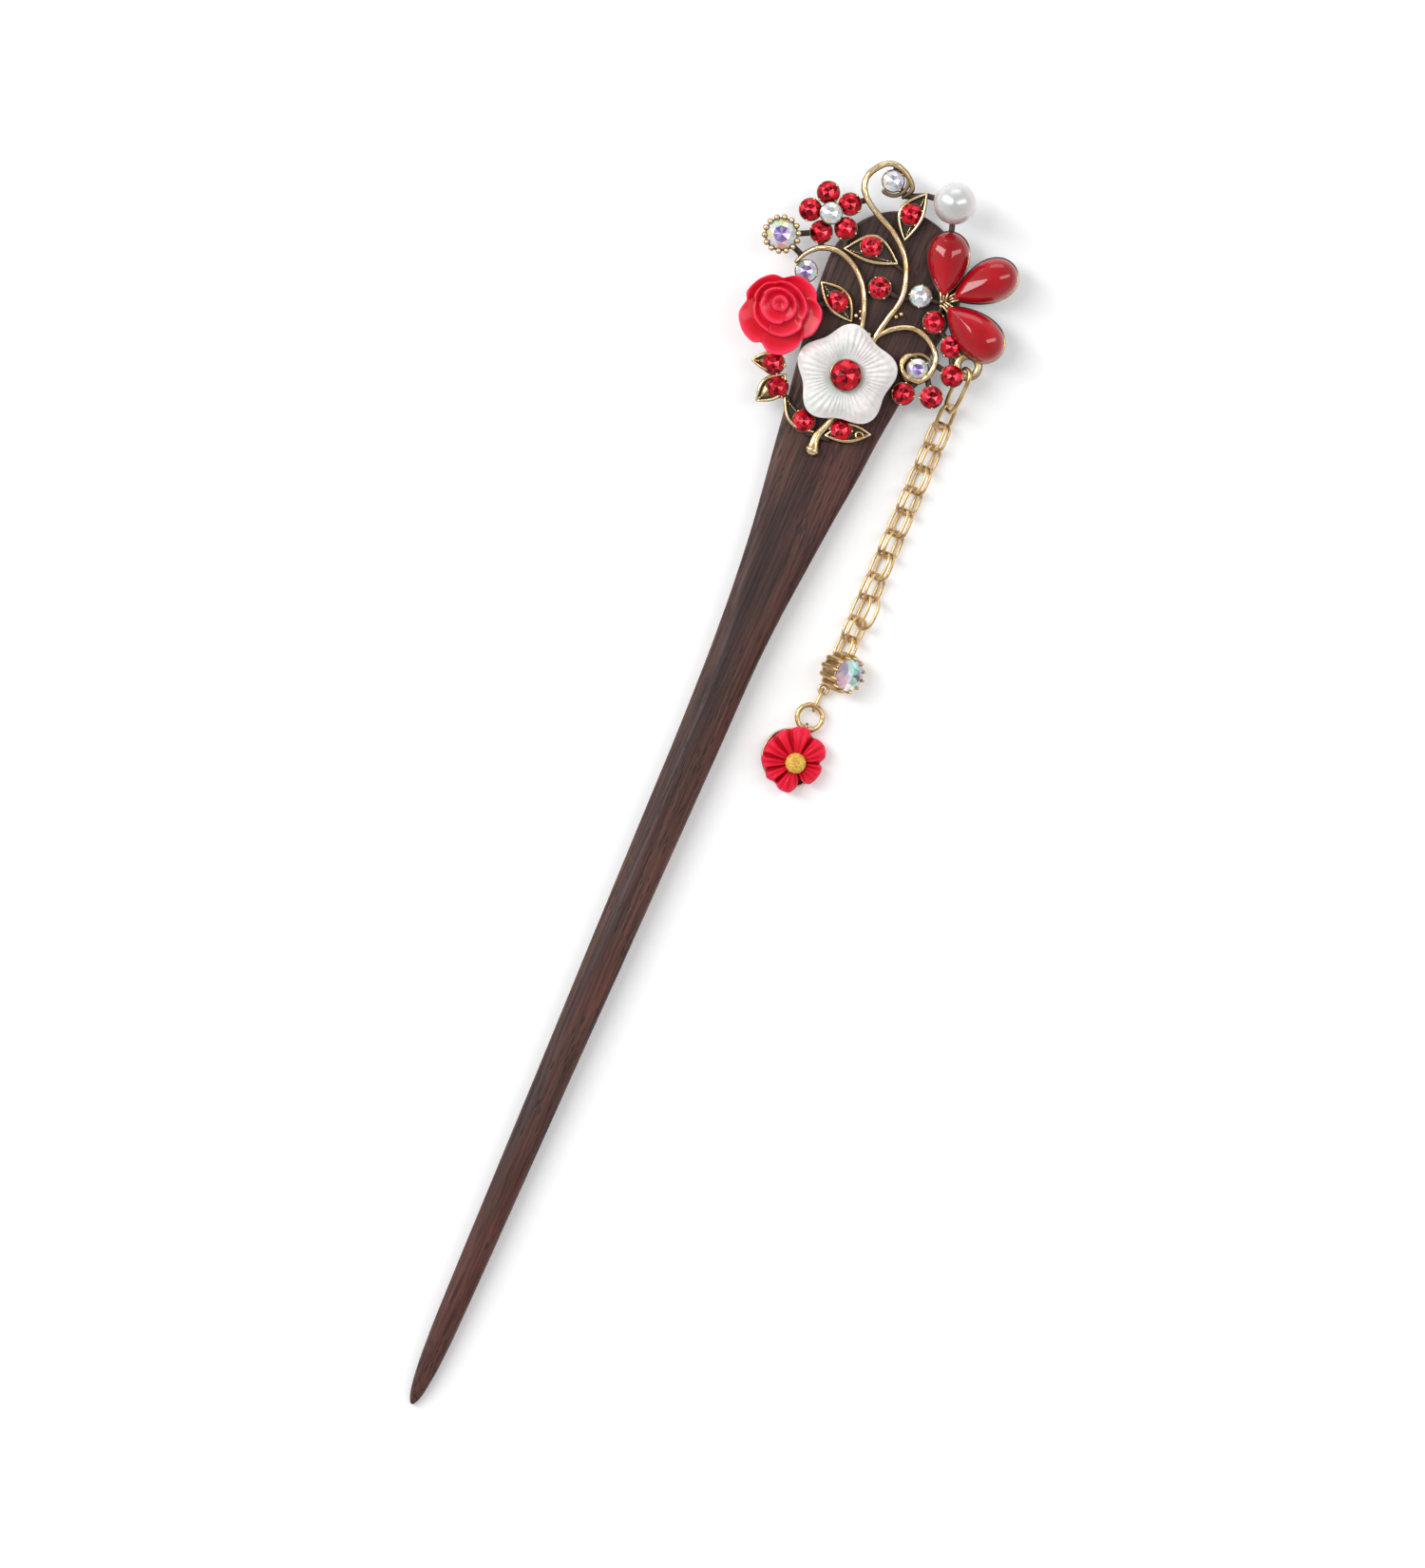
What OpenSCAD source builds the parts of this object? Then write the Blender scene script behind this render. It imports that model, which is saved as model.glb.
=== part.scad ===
// Decorative hair pin: a carved wooden hair stick with a cast, jewelled ornament on its head
// and a short chain of charms. The stick lies flat on z = 0 with its tip towards -Y.
// The origin is on the flat back, in the middle of the round head.

/* [Stick] */
// Distance from the middle of the head to the tip
stick_reach = 171.5; // [165:0.5:180]
// Width of the head
head_w = 19.6; // [18.8:0.1:20.6]
// Thickness of the flat head
head_t = 4; // [3.6:0.1:4.4]
// Height of the bevels over their width
bevel_slope = 0.8; // [0.6:0.05:1]

/* [Ornament] */
// Thickness of the adhesive film under the casting
glue_t = 0.3; // [0.2:0.05:0.5]
// Width of a cast vine
vine_w = 1.1; // [0.9:0.05:1.2]
// Diameter of a small stone
stone_d = 3; // [2.8:0.05:3]
// Diameter of the pearl
pearl_d = 6; // [5:0.1:6.4]
// Diameter of the rose
rose_d = 11.8; // [11:0.1:12.2]
// Mean radius of the shell flower
shell_r = 6.7; // [6.3:0.1:6.9]
// Height of a drop cabochon above its tray
drop_h = 2.4; // [1.8:0.1:3]

/* [Chain] */
// Wire of the doubled chain rings
ring_wire = 0.46; // [0.4:0.01:0.48]
// Distance between one stage of the chain and the next
chain_pitch = 3.29; // [3.28:0.01:3.32]
// Wire of the round ring above the daisy
jump_wire = 0.75; // [0.6:0.05:0.75]
// Diameter of the crown charm
crown_d = 5.4; // [5:0.1:5.6]
// Outer radius of the daisy
daisy_r = 4.7; // [4.3:0.1:4.8]

/* [Hidden] */
$fn = 32;

STONES = ["leaf_stone_a", "leaf_stone_b", "leaf_stone_c", "leaf_stone_d", "leaf_stone_e", "leaf_stone_f",
    "leaf_stone_g", "centre_stone", "spray_stone_1", "spray_stone_2", "spray_stone_3", "spray_stone_4",
    "spray_stone_5", "petal_stone_1", "petal_stone_2", "petal_stone_3", "petal_stone_4", "petal_stone_5"];
PALE_STONES = ["upper_curl_stone", "lower_curl_stone", "right_pale_stone", "rose_side_stone"];
PAIRS = ["chain_pair_1", "chain_pair_2", "chain_pair_3", "chain_pair_4", "chain_pair_5", "chain_pair_6",
    "chain_pair_7", "chain_pair_8"];

GOLD = [0.78, 0.62, 0.32];
RUBY = [0.78, 0.04, 0.13];
CORAL = [0.88, 0.12, 0.24];
CHERRY = [0.62, 0.05, 0.1];
PALE = [0.85, 0.85, 0.95];

// ---- Stick ----
// Rows from the head to the tip: [distance from the origin, half width, sideways drift,
// thickness, left bevel, right bevel]
STICK_ROWS = [
    [0.5, 9.8, -0.3, 4, 0.8, 0.8], [5, 9.4, -0.45, 4, 0.8, 0.8], [12, 8.4, -0.6, 4, 0.8, 0.8],
    [16, 7.75, -0.6, 4, 0.8, 0.8], [22, 6.95, -0.5, 4, 0.8, 0.8], [27, 6.4, -0.35, 4.05, 0.8, 0.8],
    [34, 5.5, -0.25, 4.2, 0.8, 0.8], [40, 4.8, -0.15, 4.4, 0.8, 0.9], [48, 4.05, -0.15, 4.6, 1.1, 1],
    [54, 3.65, -0.15, 4.7, 1.6, 1.1], [60, 3.4, -0.1, 4.8, 1.9, 1.2], [70, 3.2, 0, 4.8, 2, 1.2],
    [80, 3.05, 0, 4.8, 1.9, 1.2], [100, 2.75, 0, 4.6, 1.7, 1.1], [120, 2.4, 0, 4.2, 1.4, 1],
    [140, 2.1, 0, 3.7, 1.1, 0.9], [150, 1.95, 0, 3.4, 1, 0.8], [160, 1.75, 0, 2.9, 0.8, 0.7],
    [165, 1.5, 0, 2.5, 0.7, 0.6], [168, 1.2, 0, 2.1, 0.6, 0.5], [170, 0.85, 0, 1.6, 0.4, 0.4],
    [171, 0.5, 0, 1.2, 0.25, 0.25], [171.5, 0.2, 0, 0.9, 0.1, 0.1]];
ROW_STEPS = 3; // rings between one row and the next
HEAD_STEPS = 12; // rings round the end of the head
HEAD_RISE = 10.5; // length of the rounded end
EDGE = 0.6; // chamfer along the flat back
CUT = 0.3; // how far the loft runs below the flat back before it is cut

// ---- Ornament heights ----
cast_z = head_t + glue_t;
pocket_z = cast_z + 0.6; // floor of the stone cups
flower_z = pocket_z + 0.65; // floor of the raised cup
rib_h = 0.6; // lowest rib
cup_h = 0.9; // lowest cup
seat_h = 1; // seats of the pearl and the crown setting
SINK = 0.3;
STEP_UP = 0.01;
pad_top = cast_z + 1.7; // seats of the rose and the shell flower
tray_top = cast_z + 1.3; // seats of the drops
FIT = 0.02; // clearance of a stone in its pocket
STONE_H = 1; // height of a small stone
GIRDLE = 0.3; // straight edge of a stone
CUP_WALL = 0.28;

// ---- Ornament places, [x, y] ----
LEAF_STONES = [[-1.8, 9.5], [-5.2, 3.2], [-6.5, -5.8], [-11.3, -17.3], [-9.5, -20.1], [-4.2, -23],
    [1.1, -22.1]];
CENTRE_STONE = [-1.8, -1.7];
SPRAY_STONES = [[7.1, -3.1], [10.7, -5.3], [12.4, -9], [10.9, -12.9], [7.1, -14]];
FLOWER = [-12.2, 5.2];
PETAL_R = 2.95;
PETAL_START = 49;
PETAL_STONES = [for (i = [0 : 4]) FLOWER + PETAL_R * [cos(PETAL_START + 72 * i), sin(PETAL_START + 72 * i)]];
UPPER_CURL = [-6, 12.8];
LOWER_CURL = [7.6, -10.1];
RIGHT_PALE = [3.9, -0.5];
ROSE_SIDE = [-12.2, -3.6];
SMALL_STONES = concat(LEAF_STONES, [CENTRE_STONE], SPRAY_STONES, PETAL_STONES);
PALE_PLACES = [UPPER_CURL, LOWER_CURL, RIGHT_PALE, ROSE_SIDE];
CROWN = [-17.4, -0.3];
CROWN_STONE_D = 4.3;
CROWN_WALL_R = 2.5;
CROWN_WALL_H = 1.5;
CROWN_FLOOR = 0.8; // the stone's seat inside the wall
CROWN_BEADS = 14;
PEARL = [3.15, 13.2];
ROSE = [-13.4, -10.6];
SHELL = [-1.3, -14.9];
SHELL_TURN = 104; // direction of the first lobe
// Drops: [tip, round end, width]
DROP_UPPER = [[6.9, 0.7], [4.3, 9.4], 5.8];
DROP_RIGHT = [[8.2, 1], [14.7, 8.2], 5.8];
DROP_LOWER = [[7.9, -0.4], [17.3, -3.9], 6];
// Leaves: [tip, base, bulge to the left and to the right of tip to base, over the length]
LEAVES = [[[-1, 13], [-1.3, 5.8], 0.12, 0.32], [[-8.5, 1.4], [-0.9, 2.4], 0.37, 0.1],
    [[-9.6, -4.2], [-3.6, -7.6], 0.27, 0.18], [[-14.2, -18], [-9.6, -17], 0.29, 0.2],
    [[-11.4, -23], [-9.1, -18.1], 0.26, 0.29], [[-7.9, -21.1], [-2.4, -23.9], 0.06, 0.25],
    [[5.1, -21.1], [-0.6, -23.7], 0.14, 0.24]];
LEAF_RIM = 0.5;
LEAF_FLOOR = 0.45;
LEAF_H = 1.1;
CUP_FOOT = 0.45; // height at which a cup reaches its full width
CUP_TAPER = 0.7;
TRAY_EDGE = 0.5; // height of the lip round a drop's tray
TRAY_LIP = 0.2;
VINE_MAIN = [[0.4, -9.5], [0.4, -7.9], [0.9, -5.3], [1.6, -1.9], [0.8, 1.6], [-0.7, 4.1], [-3.2, 6.2],
    [-5.9, 7.5], [-8.3, 9], [-9.5, 10.7], [-9.4, 12.6], [-8, 14.5], [-6.4, 15], [-4.5, 14.3],
    [-3.1, 12.8], [-3.8, 11.3]];
VINE_LEFT = [[-2, -9.5], [-2, -7.5], [-3, -4.5], [-4.5, -2], [-6.8, -0.1], [-9.3, 0.7], [-11.6, 0.2],
    [-13.2, -1.2], [-14, -2.9]];
VINE_RIGHT = [[0, -9.5], [0.7, -7.8], [2.4, -6.1], [4.6, -5.1], [6.9, -5.5], [8.8, -6.9], [9.5, -8.5],
    [9.3, -10.3], [8.3, -11.6], [6.3, -11.5], [5.2, -10.4], [5.4, -9], [6.6, -8.4]];
STEM = [[-0.6, -19.5], [-0.9, -22], [-1.7, -24.2], [-1.5, -26.2]];
// Ribs that tie the casting together: [from, to]
RIBS = [
    [CROWN, PETAL_STONES[3]], [PETAL_STONES[3], [-11.6, 0.2]], [PETAL_STONES[4], [-8.4, 1.4]],
    [PETAL_STONES[0], [-8.3, 9]], [UPPER_CURL, [-3.4, 11.6]], [[-3.4, 11.6], [-0.8, 12.8]],
    [[-0.8, 12.8], PEARL], [PEARL, [4.7, 8.3]], [[-0.9, 2.2], [0.8, 1.7]], [CENTRE_STONE, [1.6, -1.9]],
    [CENTRE_STONE, [-3.7, -3.3]], [RIGHT_PALE, [1.6, -1.9]], [RIGHT_PALE, [7.4, -0.2]],
    [[7.4, -0.2], [6.8, 1.2]], [[7.4, -0.2], [8.8, 1.6]], [[7.4, -0.2], [8.8, -0.8]],
    [[7.4, -0.2], SPRAY_STONES[0]], [SPRAY_STONES[0], SPRAY_STONES[1]], [SPRAY_STONES[1], SPRAY_STONES[2]],
    [SPRAY_STONES[3], [9.3, -10.6]], [SPRAY_STONES[4], [8.3, -11.6]], [SPRAY_STONES[2], [9.5, -8.5]],
    [ROSE, ROSE_SIDE], [ROSE, LEAF_STONES[3]], [ROSE, SHELL], [ROSE, LEAF_STONES[2]],
    [LEAF_STONES[3], LEAF_STONES[4]], [LEAF_STONES[4], [-7.4, -21.2]], [[-3, -24.4], [-1.7, -24.2]],
    [[-0.2, -24], [-1.7, -24.2]], [[-1, -12], [-2, -8.5]], [[-1, -12], [0.6, -8.5]], [CROWN, [-13.6, -1.8]],
    [UPPER_CURL, [-6.4, 15]], [LOWER_CURL, [6.3, -11.5]]];
EYELET = [13.9, -6.9];
EYELET_R = 1.5;
EYELET_Z = 0.57;
EYELET_WIDE = 1.2; // section of the eyelet's ring
EYELET_HIGH = 0.84;
RIB_R = 0.5;
TRAY_INSET = 0.1; // the top of a drop's tray is this much inside the drop
SHELL_GLUE_R = 3.6;
STONE_GLUE_R = 1;
CROWN_SEAT_R = 1.6;
SHELL_SEAT_R = 3.8;
ROSE_SEAT_R = 2.6;
PEARL_SEAT_R = 1.5;
PEG_R = 0.4; // peg inside the pearl
PEG_H = 2.6;
PEARL_FLAT = 0.1;

// Raised cup of the small flower
CUP_STEM_R = 0.9;
CUP_STEM_H = 1.1;
CUP_LIP = 0.14;
CUP_FLARE = 0.3;
CUP_FLOOR = 0.13; // from the bottom of the rim to the stone
CUP_BELOW = 0.36;

// ---- Set pieces ----
CROWN_STONE_H = 1.6;
BEAD_R = 0.34;
BEAD_H = 0.65;
BEAD_Z = 1;
DROP_STEPS = 5;
DROP_TIP_R = 0.4;
DROP_TIP_LEAN = 2; // how far the tip is drawn in at the top of the dome
DROP_TAPER = 0.9;
ROSE_FOOT_R = 4;
ROSE_FOOT_H = 1.8;
ROSE_BUD_R = 2.4;
ROSE_H = 4;
OUTER_PETAL_R = 3;
OUTER_PETAL_H = 1.5;
INNER_PETAL_R = 2;
INNER_PETAL_H = 2;
INNER_PETAL_OUT = 1.9;
PETAL_STEP = 0.05; // each petal of a ring stands this much higher than the last
SHELL_LOBE = 0.6;
SHELL_T = 1.5;
SHELL_MIDDLE_T = 1;
SHELL_DISH_R = 2.4;
SHELL_HOLE_R = 0.82;
SHELL_STONE_D = 4.2;
SHELL_STONE_H = 1.5;
RIVET_R = 0.8;
RIVET_REACH = 1.2;
RIVET_HEAD_R = 2.3;
RIVET_FLOOR = 1.6;
RIVET_HOLE_Z = 0.5;

// ---- Chain ----
CHAIN_X = 13.9;
CHAIN_Z = 1.6;
CHAIN_START = -17.55; // y of the first doubled stage
ROLL = 45; // how far each stage is turned about the chain
RING_HALF_W = 1.4;
RING_HALF_L = 2;
RING_CORNER = 1;
PAIR_GAP = 1; // between the two rings of a stage
LINK_1 = [[14.1, -7.35, 5], [13.8, -13.6, 2.75]];
LINK_2 = [[13.85, -12.8, 3], [13.9, -16.5, 1.35]];
LINK_1_ROLL = -50;
LINK_1_HALF_W = 1.25;
LINK_1_WIRE = 0.6;
LINK_2_HALF_W = 1.3;
LINK_2_WIRE = 0.54;
JUMP_RING_SHIFT = [0.45, -0.2, -0.7]; // from the middle of the last stage
JUMP_RING_HALF_W = 1.65;
JUMP_RING_HALF_L = 2.3;
JUMP_RING_WIRE = 0.48;
STAGE_10_Y = -47;
STAGE_10_HALF_L = 1.8;
STAGE_11_Y = -50;
STAGE_11_HALF_W = 1.3;
STAGE_11_HALF_L = 1.9;
CROWN_CHARM = [14.7, -53.2, 3.2];
CROWN_LEAN = [0, 38, 0];
CROWN_H = 3.4;
PRONGS = 12;
PRONG_R = 0.25;
CHARM_STONE_D = 4.6;
CHARM_STONE_H = 1.7;
CHARM_SEAT = 0.7; // depth of the stone's seat in the crown
LOW_Z = 1.15; // height of the eye link, the round ring and the daisy's loop
LUG = [13.3, -56.4, LOW_Z];
LUG_R = 0.65;
LUG_WIRE = 0.44;
LUG_ARM = 1.4;
LUG_ARM_TURN = [-50, 0, -30];
EYE = [13.2, -58.1, LOW_Z];
EYE_HALF_W = 0.75;
EYE_HALF_L = 1.65;
EYE_WIRE = 0.5;
JUMP = [13.1, -60.8, LOW_Z];
JUMP_R = 1.77;
DAISY = [13.4, -67.1];
DAISY_LOBE = 0.35;
DAISY_FOOT_R = 3.3;
DAISY_FOOT_H = 1.8;
PETAL_T = 1.3;
DAISY_HEART = [13.7, -67.4, 3.45];
HEART_R = 1.42;
HEART_H = 0.8;
TRAY = [12.9, -67];
TRAY_R = 4.2;
TRAY_H = 0.7;
TRAY_FLOOR = 0.4;
LOOP_R = 0.75; // loop on the tray
LOOP_WIRE = 0.4;

// ---- Curves ----
// Smooth curve through rows of numbers
function between(a, b, c, d, t) =
    0.5 * (2 * b + (c - a) * t + (2 * a - 5 * b + 4 * c - d) * t * t + (3 * b - a - 3 * c + d) * t * t * t);
function smooth(rows, steps) = let (n = len(rows) - 1) concat(
    [for (i = [0 : n - 1], k = [0 : steps - 1])
        between(rows[max(i - 1, 0)], rows[i], rows[i + 1], rows[min(i + 2, n)], k / steps)],
    [rows[n]]);
function unit(v) = v / norm(v);

// Closed solid through rings of points
module loft(rings) {
    n = len(rings[0]);
    last = len(rings) - 1;
    sides = [for (i = [0 : last - 1], k = [0 : n - 1])
        [i * n + k, (i + 1) * n + k, (i + 1) * n + (k + 1) % n, i * n + (k + 1) % n]];
    polyhedron([for (r = rings, p = r) p],
        concat([[for (k = [0 : n - 1]) k]], sides, [[for (k = [n - 1 : -1 : 0]) last * n + k]]));
}

// Rod of oval section along a path of [x, y, z] points
module rod(path, wide, high, sides = 6) {
    n = len(path) - 1;
    loft([for (i = [0 : n])
        let (along = unit(path[min(i + 1, n)] - path[max(i - 1, 0)]), side = unit(cross(along, [0, 0, 1])))
        [for (k = [0 : sides - 1])
            path[i] + wide / 2 * cos(360 * k / sides) * side - [0, 0, high / 2 * sin(360 * k / sides)]]]);
}

// ---- Stick ----
function stick_ring(row, shift = 0) =
    let (y = -row[0] * stick_reach / 171.5 + shift, h = row[1] * head_w / 19.6, x = row[2],
        t = row[3] * head_t / 4, e = min(EDGE, 0.35 * h, 0.3 * t), cut = min(CUT, 0.3 * h),
        bl = row[4], br = row[5])
    [[x - h + e + cut, y, -cut], [x + h - e - cut, y, -cut], [x + h, y, e],
        [x + h, y, t - br * bevel_slope], [x + h - br, y, t], [x - h + bl, y, t],
        [x - h, y, t - bl * bevel_slope], [x - h, y, e]];

// A ring on the rounded end of the head, at a given angle round it
function head_ring(angle) =
    let (first = STICK_ROWS[0], h = first[1] * cos(angle), near = 1 - cos(angle),
        bevel = min(first[4], 0.5 * h))
    stick_ring([first[0], h, first[2], first[3] - 0.3 * pow(near, 6), bevel, bevel], HEAD_RISE * sin(angle));

module stick() {
    body = smooth(STICK_ROWS, ROW_STEPS);
    head = [for (i = [HEAD_STEPS : -1 : 1]) head_ring(88 * i / HEAD_STEPS)];
    color([0.3, 0.2, 0.16]) difference() {
        loft([for (r = concat(head, [for (row = body) stick_ring(row)])) r]);
        translate([-50, -stick_reach - 50, -2]) cube([100, stick_reach + 100, 2]);
    }
}

module glue_pad() {
    color([0.9, 0.9, 0.8]) {
        translate([SHELL.x, SHELL.y, head_t]) cylinder(r = SHELL_GLUE_R, h = glue_t);
        translate([CENTRE_STONE.x, CENTRE_STONE.y, head_t]) cylinder(r = STONE_GLUE_R, h = glue_t);
    }
}

// ---- Casting ----
// Every element starts SINK below the back of the casting, and the back is cut flat at the end.
// Elements of one kind step up by STEP_UP, so that no two tops share a plane.
module cup(place, i) {
    outer = stone_d / 2 + CUP_WALL;
    translate([place.x, place.y, 0]) {
        translate([0, 0, cast_z - SINK])
            cylinder(r1 = outer - CUP_TAPER, r2 = outer, h = CUP_FOOT + 0.05 + SINK, $fn = 10);
        translate([0, 0, cast_z + CUP_FOOT])
            cylinder(r = outer, h = cup_h - CUP_FOOT + STEP_UP * i, $fn = 10);
    }
}

module rib(from, to, i) {
    hull() for (p = [from, to])
        translate([p.x, p.y, cast_z - SINK]) cylinder(r = RIB_R, h = rib_h + SINK + STEP_UP * i, $fn = 6);
}

// Vine that rises towards its middle
module vine(points, rise) {
    path = smooth(points, 2);
    n = len(path) - 1;
    rod([for (i = [0 : n]) [path[i].x, path[i].y, cast_z + vine_w / 2 - 0.05 + rise * sin(180 * i / n)]],
        vine_w, vine_w);
}

function leaf_edge(leaf, bulge, steps = 5) =
    let (along = leaf[1] - leaf[0], across = bulge * [-along.y, along.x])
    [for (i = [0 : steps]) leaf[0] + along * i / steps + across * sin(180 * i / steps)];

module leaf(leaf, i) {
    left = leaf_edge(leaf, leaf[2]);
    right = leaf_edge(leaf, -leaf[3]);
    outline = concat(left, [for (k = [len(right) - 2 : -1 : 1]) right[k]]);
    translate([0, 0, cast_z - SINK]) {
        linear_extrude(LEAF_FLOOR + SINK + STEP_UP * i) polygon(outline);
        linear_extrude(LEAF_H + SINK + STEP_UP * i) difference() {
            polygon(outline);
            offset(delta = -LEAF_RIM) polygon(outline);
        }
    }
}

module drop_outline(drop, grow) {
    along = unit(drop[1] - drop[0]);
    round_r = drop[2] / 2 + grow;
    tip_r = DROP_TIP_R + grow;
    hull() {
        translate(drop[0] + along * DROP_TIP_R) circle(tip_r, $fn = 8);
        translate(drop[1] - along * drop[2] / 2) circle(round_r, $fn = 28);
    }
}

module drop_tray(drop, i) {
    translate([0, 0, cast_z - SINK]) {
        linear_extrude(tray_top - cast_z + SINK) drop_outline(drop, -TRAY_INSET);
        linear_extrude(TRAY_EDGE + SINK + STEP_UP * i) drop_outline(drop, TRAY_LIP);
    }
}

module eyelet() {
    translate([EYELET.x, EYELET.y, cast_z + EYELET_Z]) rotate_extrude($fn = 20)
        translate([EYELET_R, 0]) scale([EYELET_WIDE, EYELET_HIGH]) circle(d = 1, $fn = 8);
}

// Raised cup in the middle of the small flower
module raised_cup() {
    outer = stone_d / 2 + CUP_LIP;
    foot_z = flower_z - CUP_BELOW;
    rim_z = flower_z - CUP_FLOOR;
    translate([FLOWER.x, FLOWER.y, 0]) {
        translate([0, 0, cast_z - SINK]) cylinder(r = CUP_STEM_R, h = CUP_STEM_H + SINK, $fn = 24);
        translate([0, 0, foot_z]) cylinder(r1 = CUP_STEM_R, r2 = outer, h = CUP_FLARE, $fn = 24);
        translate([0, 0, rim_z]) cylinder(r = outer, h = CUP_FLOOR + CUP_FLARE, $fn = 24);
    }
}

// Discs that the bigger pieces sit on: crown setting, shell flower, rose and pearl
module seats() {
    translate([CROWN.x, CROWN.y, cast_z - SINK]) cylinder(r = CROWN_SEAT_R, h = seat_h + SINK, $fn = 18);
    pad_h = pad_top - cast_z;
    translate([SHELL.x, SHELL.y, cast_z - SINK]) cylinder(r = SHELL_SEAT_R, h = pad_h + SINK, $fn = 20);
    translate([ROSE.x, ROSE.y, cast_z - SINK]) cylinder(r = ROSE_SEAT_R, h = pad_h + SINK, $fn = 16);
    translate([PEARL.x, PEARL.y, cast_z - SINK]) {
        cylinder(r = PEARL_SEAT_R, h = seat_h + SINK, $fn = 18);
        cylinder(r = PEG_R, h = PEG_H, $fn = 12);
    }
}

module pockets() {
    for (p = concat(SMALL_STONES, PALE_PLACES))
        translate([p.x, p.y, pocket_z]) cylinder(r = (stone_d / 2 + FIT) / cos(18), h = 6, $fn = 10);
    translate([FLOWER.x, FLOWER.y, flower_z]) cylinder(r = stone_d / 2 + FIT, h = 6, $fn = 24);
    translate([SHELL.x, SHELL.y, cast_z + RIVET_HOLE_Z]) cylinder(r = RIVET_R + FIT, h = 3, $fn = 16);
}

module stem_foot() {
    rod([for (p = smooth(STEM, 2)) [p.x, p.y, cast_z + 0.55]], 1.3, 1.2);
    translate([STEM[3].x, STEM[3].y, cast_z + 0.55]) rotate([90, 0, 0])
        cylinder(r1 = 0.6, r2 = 0.85, h = 0.9, center = true, $fn = 14);
}

module filigree_casting() {
    cups = concat(SMALL_STONES, PALE_PLACES);
    ribs = concat(RIBS, [for (p = PETAL_STONES) [FLOWER, p]]);
    trays = [DROP_UPPER, DROP_RIGHT, DROP_LOWER];
    color(GOLD) difference() {
        union() {
            for (i = [0 : len(cups) - 1]) cup(cups[i], i);
            for (i = [0 : len(ribs) - 1]) rib(ribs[i][0], ribs[i][1], i);
            for (i = [0 : len(LEAVES) - 1]) leaf(LEAVES[i], i);
            for (i = [0 : len(trays) - 1]) drop_tray(trays[i], i);
            vine(VINE_MAIN, 0.8);
            vine(VINE_LEFT, 0.7);
            vine(VINE_RIGHT, 0.5);
            stem_foot();
            eyelet();
            raised_cup();
            seats();
        }
        pockets();
        translate([-30, -40, cast_z - 5]) cube([60, 70, 5]);
    }
}

// ---- Stones ----
// Flat-backed round stone: girdle, crown and table
module stone(d, h) {
    cylinder(d = d, h = GIRDLE);
    translate([0, 0, GIRDLE]) cylinder(d1 = d, d2 = 0.6 * d, h = h - GIRDLE);
}

module small_stone(place, tint) {
    color(tint) translate([place.x, place.y, pocket_z]) stone(stone_d, STONE_H);
}

module flower_centre_stone() {
    color(PALE) translate([FLOWER.x, FLOWER.y, flower_z]) stone(stone_d, STONE_H);
}

module crown_setting() {
    color(GOLD) translate([CROWN.x, CROWN.y, cast_z + seat_h]) {
        difference() {
            cylinder(r = CROWN_WALL_R, h = CROWN_WALL_H);
            translate([0, 0, CROWN_FLOOR]) cylinder(d = CROWN_STONE_D + 2 * FIT, h = CROWN_WALL_H);
        }
        for (i = [0 : CROWN_BEADS - 1]) rotate(360 / CROWN_BEADS * i)
            translate([CROWN_WALL_R, 0, BEAD_Z]) cylinder(r = BEAD_R, h = BEAD_H);
    }
}

module crown_stone() {
    color(PALE) translate([CROWN.x, CROWN.y, cast_z + seat_h + CROWN_FLOOR])
        stone(CROWN_STONE_D, CROWN_STONE_H);
}

module pearl() {
    seat_z = cast_z + seat_h;
    color([0.92, 0.91, 0.9]) translate([PEARL.x, PEARL.y, seat_z + pearl_d / 2 - PEARL_FLAT]) difference() {
        sphere(d = pearl_d, $fn = 64);
        translate([0, 0, -pearl_d]) cylinder(r = PEG_R + FIT, h = pearl_d - 0.5);
        translate([0, 0, -pearl_d / 2]) cube([pearl_d, pearl_d, 2 * PEARL_FLAT], center = true);
    }
}

module rose() {
    color(CORAL) translate([ROSE.x, ROSE.y, pad_top]) {
        cylinder(r = ROSE_FOOT_R, h = ROSE_FOOT_H);
        for (i = [0 : 4]) rotate(72 * i + 20) translate([rose_d / 2 - OUTER_PETAL_R, 0, 0.5])
            cylinder(r = OUTER_PETAL_R, h = OUTER_PETAL_H + PETAL_STEP * i);
        for (i = [0 : 4]) rotate(72 * i + 56) translate([INNER_PETAL_OUT, 0, 1])
            cylinder(r = INNER_PETAL_R, h = INNER_PETAL_H + PETAL_STEP * i);
        cylinder(r = ROSE_BUD_R, h = ROSE_H);
    }
}

module shell_flower() {
    outline = [for (a = [0 : 5 : 355]) (shell_r + SHELL_LOBE * cos(5 * (a - SHELL_TURN))) * [cos(a), sin(a)]];
    color([0.95, 0.94, 0.92]) translate([SHELL.x, SHELL.y, pad_top]) difference() {
        linear_extrude(SHELL_T) polygon(outline);
        translate([0, 0, -1]) cylinder(r = SHELL_HOLE_R, h = 4);
        translate([0, 0, SHELL_MIDDLE_T]) cylinder(r1 = SHELL_DISH_R, r2 = SHELL_DISH_R + 1, h = 0.6);
    }
}

module shell_rivet() {
    color(GOLD) translate([SHELL.x, SHELL.y, pad_top]) difference() {
        union() {
            translate([0, 0, -RIVET_REACH]) cylinder(r = RIVET_R, h = 2 * RIVET_REACH);
            translate([0, 0, SHELL_MIDDLE_T]) cylinder(r = RIVET_HEAD_R, h = 1);
        }
        translate([0, 0, RIVET_FLOOR]) cylinder(r = SHELL_STONE_D / 2 + FIT, h = 1);
    }
}

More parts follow.
